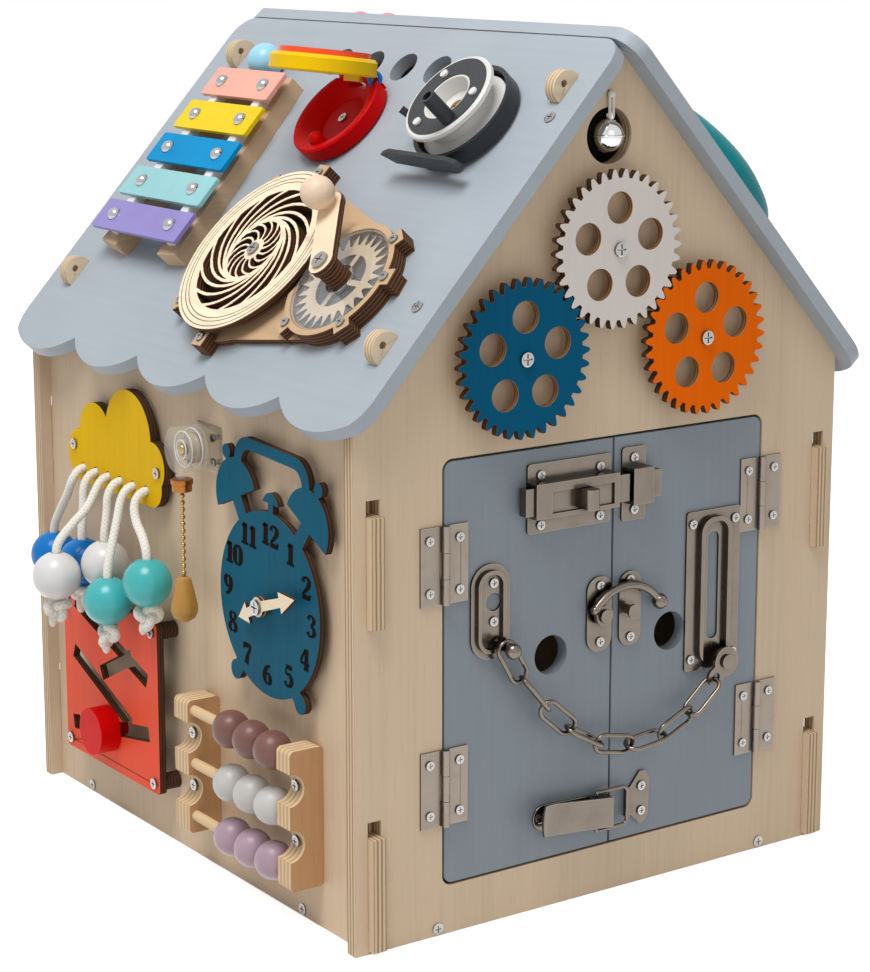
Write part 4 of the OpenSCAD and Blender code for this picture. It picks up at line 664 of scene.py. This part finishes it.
def spline(points, step):
    """A smooth line through the points (centripetal Catmull-Rom), sampled at about step."""
    p = [Vector(q) for q in points]
    p = [p[0] * 2 - p[1]] + p + [p[-1] * 2 - p[-2]]
    line = []
    for i in range(1, len(p) - 2):
        a, b, c, d = p[i - 1], p[i], p[i + 1], p[i + 2]
        t0 = 0.0
        t1 = t0 + math.sqrt((b - a).length)
        t2 = t1 + math.sqrt((c - b).length)
        t3 = t2 + math.sqrt((d - c).length)
        n = max(2, round((c - b).length / step))
        for k in range(n):
            t = t1 + (t2 - t1) * k / n
            a1 = a * ((t1 - t) / (t1 - t0)) + b * ((t - t0) / (t1 - t0))
            a2 = b * ((t2 - t) / (t2 - t1)) + c * ((t - t1) / (t2 - t1))
            a3 = c * ((t3 - t) / (t3 - t2)) + d * ((t - t2) / (t3 - t2))
            b1 = a1 * ((t2 - t) / (t2 - t0)) + a2 * ((t - t0) / (t2 - t0))
            b2 = a2 * ((t3 - t) / (t3 - t1)) + a3 * ((t - t1) / (t3 - t1))
            line.append(b1 * ((t2 - t) / (t2 - t1)) + b2 * ((t - t1) / (t2 - t1)))
    line.append(p[-2])
    return line


def tube_mesh(line, radius, sides=14, closed=False, taper=0.0):
    """Vertices, faces and UVs (metres along, turns round) of a tube along a line.

    A taper narrows both ends of an open tube by that share.
    """
    m = len(line)
    verts, polys, uvs = [], [], []
    side = None
    run = 0.0
    for i, p in enumerate(line):
        if closed:
            d = (line[(i + 1) % m] - line[i - 1]).normalized()
        else:
            d = (line[min(i + 1, m - 1)] - line[max(i - 1, 0)]).normalized()
        if side is None:
            side = d.orthogonal().normalized()
        side = (side - d * side.dot(d)).normalized()
        up = d.cross(side)
        if i:
            run += (p - line[i - 1]).length
        r = radius
        if taper and not closed:
            edge = min(i, m - 1 - i)
            r = radius * (1 - taper * max(0.0, 1 - edge / 2.0) ** 2)
        for k in range(sides):
            t = 2 * math.pi * k / sides
            verts.append(p + (side * math.cos(t) + up * math.sin(t)) * r)
            uvs.append((run, k / sides))
    for i in range(m if closed else m - 1):
        j = (i + 1) % m
        for k in range(sides):
            q = (k + 1) % sides
            polys.append((i * sides + k, i * sides + q, j * sides + q, j * sides + k))
    if not closed:
        polys.append(tuple(range(sides - 1, -1, -1)))
        polys.append(tuple((m - 1) * sides + k for k in range(sides)))
    return verts, polys, uvs


# ropes of the six hanging beads: each has its hole's place along the wall and its bead's centre
# (along, up, out), and its route's points are those of the solids
ROPE_Z, ROPE_D, BEAD_D = 209.6, 5.2, 28.4
KNOT_SIZE, KNOT_R, KNOT_DROP, TAIL_R = 2.15, 2.75, 5.4, 2.5
KNOT_POINTS, KNOT_LEAN, KNOT_TURN = 72, math.radians(68), 0.9
ROPES = ((114.8, (139.8, 152.5, 17.0)), (99.3, (95.5, 157.5, 20.5)), (84.1, (79.5, 156.0, 45.5)),
         (69.0, (66.5, 162.0, 20.5)), (53.2, (44.0, 146.5, 31.0)), (37.5, (15.2, 162.0, 20.5)))


def rope_route(y, b):
    """From behind the cloud, out through the hole and down through the bead."""
    d = b[2] - 16
    z = ROPE_Z
    pts = [(y, z, 1), (y, z, 7.5), (y, z - 1.2, 11.6), (y, z - 4.4, 14.7),
           (y + (b[0] - y) * 0.05, z - 9, 16.4 + d * 0.04),
           (y + (b[0] - y) * 0.22, z - 16, 16.5 + d * 0.2),
           (y + (b[0] - y) * 0.6, (z + b[1]) / 2 + 2, 16 + d * 0.6),
           (y + (b[0] - y) * 0.93, b[1] + 19, 16 + d * 0.95),
           (b[0], b[1] + 12, b[2]), (b[0], b[1], b[2]), (b[0], b[1] - 16, b[2])]
    return [left(*p) for p in pts]


def knot_line(centre, size, turn):
    """A pulled-up overhand knot: a flattened trefoil loop."""
    rot = Matrix.Rotation(turn, 3, "Z") @ Matrix.Rotation(KNOT_LEAN, 3, "X")
    out = []
    for i in range(KNOT_POINTS):
        t = 2 * math.pi * i / KNOT_POINTS
        v = Vector((math.sin(t) + 2 * math.sin(2 * t), math.cos(t) - 2 * math.cos(2 * t),
                    -1.25 * math.sin(3 * t)))
        out.append(centre + rot @ (v * size * MM))
    return out


for i, (y, b) in enumerate(ROPES, 1):
    line = spline(rope_route(y, b), 0.0028)
    v, f, uv = tube_mesh(line, ROPE_D / 2 * MM, 16)
    rope = mesh_piece(f"bead_rope_{i}", v, f, "rope", None, "rope_white", uvs=uv)
    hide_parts("bead_ropes")
    low = left(b[0], b[1] - BEAD_D / 2 - KNOT_DROP, b[2])
    v, f, uv = tube_mesh(knot_line(low, KNOT_SIZE, KNOT_TURN * i), KNOT_R * MM, 12, closed=True)
    knot = mesh_piece(f"bead_knot_{i}", v, f, "rope", "hanging_beads", "rope_white", uvs=uv)
    bends = ((-1, 1, -2), (-2.5, 1.5 - i % 3, -6), (-2, 3 - 2 * (i % 3), -11))
    tail = [low + Vector(p) * MM for p in bends]
    v, f, uv = tube_mesh(spline(tail, 0.0015), TAIL_R * MM, 12, taper=0.45)
    end = mesh_piece(f"bead_knot_tail_{i}", v, f, "rope", "hanging_beads", "rope_white", uvs=uv)
    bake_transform(rope)

# clock numerals: bold cut figures with gaps like a stencil's, each stroke a line of (x, y, width)
FIGURES = {
    "0": (
        ((0.27, 0.98, 0.07), (0.12, 0.78, 0.17), (0.09, 0.5, 0.2), (0.12, 0.22, 0.17),
         (0.27, 0.02, 0.07)),
        ((0.35, 0.98, 0.07), (0.5, 0.78, 0.17), (0.53, 0.5, 0.2), (0.5, 0.22, 0.17),
         (0.35, 0.02, 0.07)),
    ),
    "1": (
        ((0.3, 0.1, 0.2), (0.3, 0.97, 0.2)),
        ((0.08, 0.8, 0.07), (0.28, 0.93, 0.12)),
        ((0.06, 0.04, 0.09), (0.54, 0.04, 0.09)),
    ),
    "2": (
        ((0.1, 0.74, 0.16), (0.14, 0.91, 0.1), (0.32, 0.97, 0.08), (0.5, 0.84, 0.17),
         (0.48, 0.65, 0.17), (0.3, 0.4, 0.12), (0.1, 0.19, 0.08)),
        ((0.06, 0.08, 0.15), (0.58, 0.08, 0.15)),
        ((0.57, 0.05, 0.06), (0.6, 0.27, 0.05)),
    ),
    "3": (
        ((0.1, 0.77, 0.14), (0.16, 0.92, 0.09), (0.32, 0.97, 0.08), (0.49, 0.82, 0.16),
         (0.43, 0.63, 0.12), (0.28, 0.55, 0.06)),
        ((0.28, 0.49, 0.06), (0.46, 0.42, 0.13), (0.53, 0.24, 0.17), (0.38, 0.05, 0.09),
         (0.18, 0.04, 0.08), (0.08, 0.2, 0.15)),
    ),
    "4": (
        ((0.43, 0.06, 0.17), (0.43, 0.98, 0.17)),
        ((0.34, 0.93, 0.07), (0.05, 0.37, 0.09)),
        ((0.02, 0.29, 0.09), (0.3, 0.29, 0.09)),
        ((0.55, 0.29, 0.09), (0.64, 0.29, 0.09)),
        ((0.26, 0.03, 0.07), (0.6, 0.03, 0.07)),
    ),
    "5": (
        ((0.14, 0.92, 0.14), (0.55, 0.92, 0.14)),
        ((0.13, 0.85, 0.06), (0.12, 0.56, 0.06)),
        ((0.16, 0.54, 0.07), (0.34, 0.6, 0.1), (0.52, 0.42, 0.17), (0.5, 0.18, 0.17),
         (0.32, 0.03, 0.08), (0.14, 0.07, 0.1), (0.08, 0.2, 0.14)),
    ),
    "6": (
        ((0.48, 0.93, 0.07), (0.28, 0.84, 0.12), (0.12, 0.52, 0.18), (0.12, 0.24, 0.18),
         (0.27, 0.02, 0.08)),
        ((0.36, 0.02, 0.08), (0.51, 0.2, 0.16), (0.48, 0.42, 0.15), (0.34, 0.56, 0.08),
         (0.25, 0.5, 0.05)),
    ),
    "7": (
        ((0.05, 0.91, 0.16), (0.57, 0.91, 0.16)),
        ((0.53, 0.8, 0.08), (0.36, 0.48, 0.14), (0.26, 0.03, 0.2)),
        ((0.06, 0.95, 0.05), (0.05, 0.7, 0.05)),
    ),
    "8": (
        ((0.27, 0.97, 0.07), (0.12, 0.84, 0.13), (0.14, 0.66, 0.14), (0.32, 0.52, 0.12),
         (0.52, 0.34, 0.15), (0.5, 0.14, 0.15), (0.35, 0.02, 0.07)),
        ((0.35, 0.97, 0.06), (0.48, 0.84, 0.12), (0.45, 0.67, 0.1), (0.38, 0.6, 0.05)),
        ((0.22, 0.5, 0.06), (0.1, 0.34, 0.14), (0.11, 0.14, 0.14), (0.27, 0.02, 0.06)),
    ),
}
FIGURES["9"] = tuple(tuple((0.62 - x, 1 - y, w) for x, y, w in stroke) for stroke in FIGURES["6"])
CLOCK, TILT = (-97.0, 172.0), math.radians(-3)
HOURS_ACROSS, HOURS_UP = 42.6, 39.0  # half the width and half the height of the ring of numerals
FIGURE_MID = (0.31, 0.5)
FIGURE_TALL, FIGURE_WIDE, FIGURE_STEP = 11.9, 14.4, 8.3  # a figure's scales, and the way to the next one
STROKE_STEP, STROKE_WIDER, STROKE_LEAST = 0.07, 1.5, 0.09
INK = (7.9, 8.14)  # from just under the clock's face to just above it


def stroke_rows(stroke):
    """Pairs of points on both sides of a stroke's line."""
    line = spline([Vector(p) for p in stroke], STROKE_STEP)
    rows = []
    for i, p in enumerate(line):
        d = (line[min(i + 1, len(line) - 1)] - line[max(i - 1, 0)]).to_2d().normalized()
        side = Vector((-d.y, d.x)) * max(p.z * STROKE_WIDER, STROKE_LEAST) * 0.5
        rows.append([Vector((p.x, p.y)) + side * sgn for sgn in (1, -1)])
    return rows


def strip_faces(base, n):
    """Faces of a closed strip of n sections of four vertices, of which the first is number base."""
    polys = []
    for i in range(n - 1):
        p, q = base + 4 * i, base + 4 * (i + 1)
        polys += [(p + 1, p + 3, q + 3, q + 1), (p, q, q + 2, p + 2), (p, p + 1, q + 1, q),
                  (p + 2, q + 2, q + 3, p + 3)]
    polys += [(base, base + 2, base + 3, base + 1),
              (base + 4 * n - 4, base + 4 * n - 3, base + 4 * n - 1, base + 4 * n - 2)]
    return polys


def numeral_strips():
    """Vertices and faces of the twelve numerals on the clock's face."""
    verts, polys = [], []
    ct, st = math.cos(TILT), math.sin(TILT)
    for hour in range(1, 13):
        a = math.radians(90 - 30 * hour) + TILT
        cx, cy = HOURS_ACROSS * math.cos(a), HOURS_UP * math.sin(a)
        text = str(hour)
        total = FIGURE_STEP * len(text)
        for k, figure in enumerate(text):
            for stroke in FIGURES[figure]:
                rows = stroke_rows(stroke)
                polys += strip_faces(len(verts), len(rows))
                for q in (point for row in rows for point in row):
                    x = (q.x - FIGURE_MID[0]) * FIGURE_WIDE + (k + 0.5) * FIGURE_STEP - total / 2
                    y = (q.y - FIGURE_MID[1]) * FIGURE_TALL
                    x, y = cx + (x * ct - y * st), cy + (x * st + y * ct)
                    verts += [left(CLOCK[0] - x, CLOCK[1] + y, h) for h in INK]
    return verts, polys


mesh_piece("clock_numerals", *numeral_strips(), "numeral", "house", "clock_blue", smooth=False)

# blue elastic looped round one end of the clapper's hinge
ELASTIC, ELASTIC_LOOP, ELASTIC_R, ELASTIC_WAVE = (-17.6, 51.5, 11), 3.6, 1.3, 0.6
ELASTIC_POINTS = 28
loop = []
for i in range(ELASTIC_POINTS):
    t = 2 * math.pi * i / ELASTIC_POINTS
    loop.append(roof(ELASTIC[0] + ELASTIC_WAVE * math.sin(2 * t), ELASTIC[1] - ELASTIC_LOOP * math.cos(t),
                     ELASTIC[2] + ELASTIC_LOOP * math.sin(t)))
v, f, uv = tube_mesh(loop, ELASTIC_R * MM, 10, closed=True)
mesh_piece("clapper_elastic", v, f, "elastic", "house", "clapper_red", uvs=uv)

# works seen through the pull switch's clear shell, and pale rings painted as the highlights on the
# shell's inner edges
SWITCH = (-21, 245)
SWITCH_RIM_HIGHLIGHTS, HIGHLIGHT_RING_THICK = ((11.6, 9.4), (10.4, 15.2), (5.6, 16.6)), 0.7


def turned(name, at, profile, material, slot, sides=28, hollow=False):
    """A solid of revolution about the left wall's outward direction.

    The profile is a row of (radius, height), closed on itself if hollow and else with flat ends.
    """
    verts, polys = [], []
    for r, h in profile:
        for k in range(sides):
            t = 2 * math.pi * k / sides
            verts.append(left(at[0] - r * math.cos(t), at[1] + r * math.sin(t), h))
    rows = len(profile)
    for i in range(rows if hollow else rows - 1):
        j = (i + 1) % rows
        for k in range(sides):
            q = (k + 1) % sides
            polys.append((i * sides + k, j * sides + k, j * sides + q, i * sides + q))
    if not hollow:
        polys.append(tuple(range(sides)))
        polys.append(tuple((rows - 1) * sides + k for k in range(sides - 1, -1, -1)))
    return mesh_piece(name, verts, polys, material, "house", slot)


turned("switch_core", SWITCH, ((8.5, 8), (8.5, 11.4), (6.8, 11.6), (6.8, 13.9), (4, 14.4)),
       "core", "switch_shell")
# painted highlights: thin pale rings where the clear shell's inner edges catch the light
for i, (r, h) in enumerate(SWITCH_RIM_HIGHLIGHTS, 1):
    section = ((r - HIGHLIGHT_RING_THICK, h), (r, h), (r, h + HIGHLIGHT_RING_THICK), (r - HIGHLIGHT_RING_THICK, h + HIGHLIGHT_RING_THICK))
    turned(f"switch_rim_highlight_{i}", SWITCH, section, "strip", "switch_shell", hollow=True)
turned("switch_contact", SWITCH, ((3.2, 14.5), (3.2, 17.4), (2.4, 18.2), (0.6, 18.4)),
       "brass", "switch_brass")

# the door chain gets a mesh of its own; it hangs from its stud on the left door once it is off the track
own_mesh(nodes["door_chain"])


# ---------------------------------------------------------------- floor, light and background
FLOOR_HALF, FLOOR_DROP = 4, 0.0004  # metres
FLOOR_GLOW = 0.75  # lifts the floor to white where it is seen
SKY_LIGHT = 0.40


def seen_rays(tree):
    """1 for rays that show the backdrop (direct, mirrored, through plastic), 0 for those that light."""
    path = tree.nodes.new("ShaderNodeLightPath")
    seen = path.outputs["Is Camera Ray"]
    for kind in ("Is Glossy Ray", "Is Transmission Ray"):
        more = tree.nodes.new("ShaderNodeMath")
        more.operation = "MAXIMUM"
        tree.links.new(seen, more.inputs[0])
        tree.links.new(path.outputs[kind], more.inputs[1])
        seen = more.outputs[0]
    return seen


def stage_floor():
    """A wide white floor just under the part."""
    mesh = bpy.data.meshes.new("floor")
    corners = ((-1, -1), (1, -1), (1, 1), (-1, 1))
    mesh.from_pydata([(x * FLOOR_HALF, y * FLOOR_HALF, 0) for x, y in corners], [], [(0, 1, 2, 3)])
    obj = bpy.data.objects.new("floor", mesh)
    scene.collection.objects.link(obj)
    obj.location.z = -FLOOR_DROP
    mat = bpy.data.materials.new("floor_white")
    mat.use_nodes = True
    tree = mat.node_tree
    bsdf = tree.nodes["Principled BSDF"]
    bsdf.inputs["Base Color"].default_value = (0.86, 0.86, 0.86, 1)
    bsdf.inputs["Roughness"].default_value = 0.9
    bsdf.inputs["Specular IOR Level"].default_value = 0.0
    glow = tree.nodes.new("ShaderNodeMath")
    glow.operation = "MULTIPLY"
    tree.links.new(seen_rays(tree), glow.inputs[0])
    glow.inputs[1].default_value = FLOOR_GLOW
    bsdf.inputs["Emission Color"].default_value = (1, 1, 1, 1)
    tree.links.new(glow.outputs[0], bsdf.inputs["Emission Strength"])
    mesh.materials.append(mat)


stage_floor()


def world_light(level):
    """An even white sky: level for the light it gives, and full white where it is seen."""
    world = bpy.data.worlds.new("studio")
    scene.world = world
    world.use_nodes = True
    tree = world.node_tree
    tree.nodes.clear()
    mix = tree.nodes.new("ShaderNodeMixShader")
    tree.links.new(seen_rays(tree), mix.inputs[0])
    for socket, strength in ((1, level), (2, 1.0)):
        white = tree.nodes.new("ShaderNodeBackground")
        white.inputs["Color"].default_value = (1, 1, 1, 1)
        white.inputs["Strength"].default_value = strength
        tree.links.new(white.outputs[0], mix.inputs[socket])
    out = tree.nodes.new("ShaderNodeOutputWorld")
    tree.links.new(mix.outputs[0], out.inputs["Surface"])


world_light(SKY_LIGHT)


def soft_box(name, place, aim, size, power):
    """A round area lamp, in metres and watts, turned to look at aim."""
    lamp = bpy.data.lights.new(name, "AREA")
    lamp.shape = "DISK"
    lamp.size = size
    lamp.energy = power
    obj = bpy.data.objects.new(name, lamp)
    scene.collection.objects.link(obj)
    obj.location = place
    obj.rotation_euler = (Vector(aim) - Vector(place)).to_track_quat("-Z", "Y").to_euler()


soft_box("key", (-0.85, -0.42, 2.15), (0, 0, 0.25), 1.2, 38)
soft_box("fill", (-0.2, -1.9, 1.0), (0, 0, 0.22), 1.4, 2)
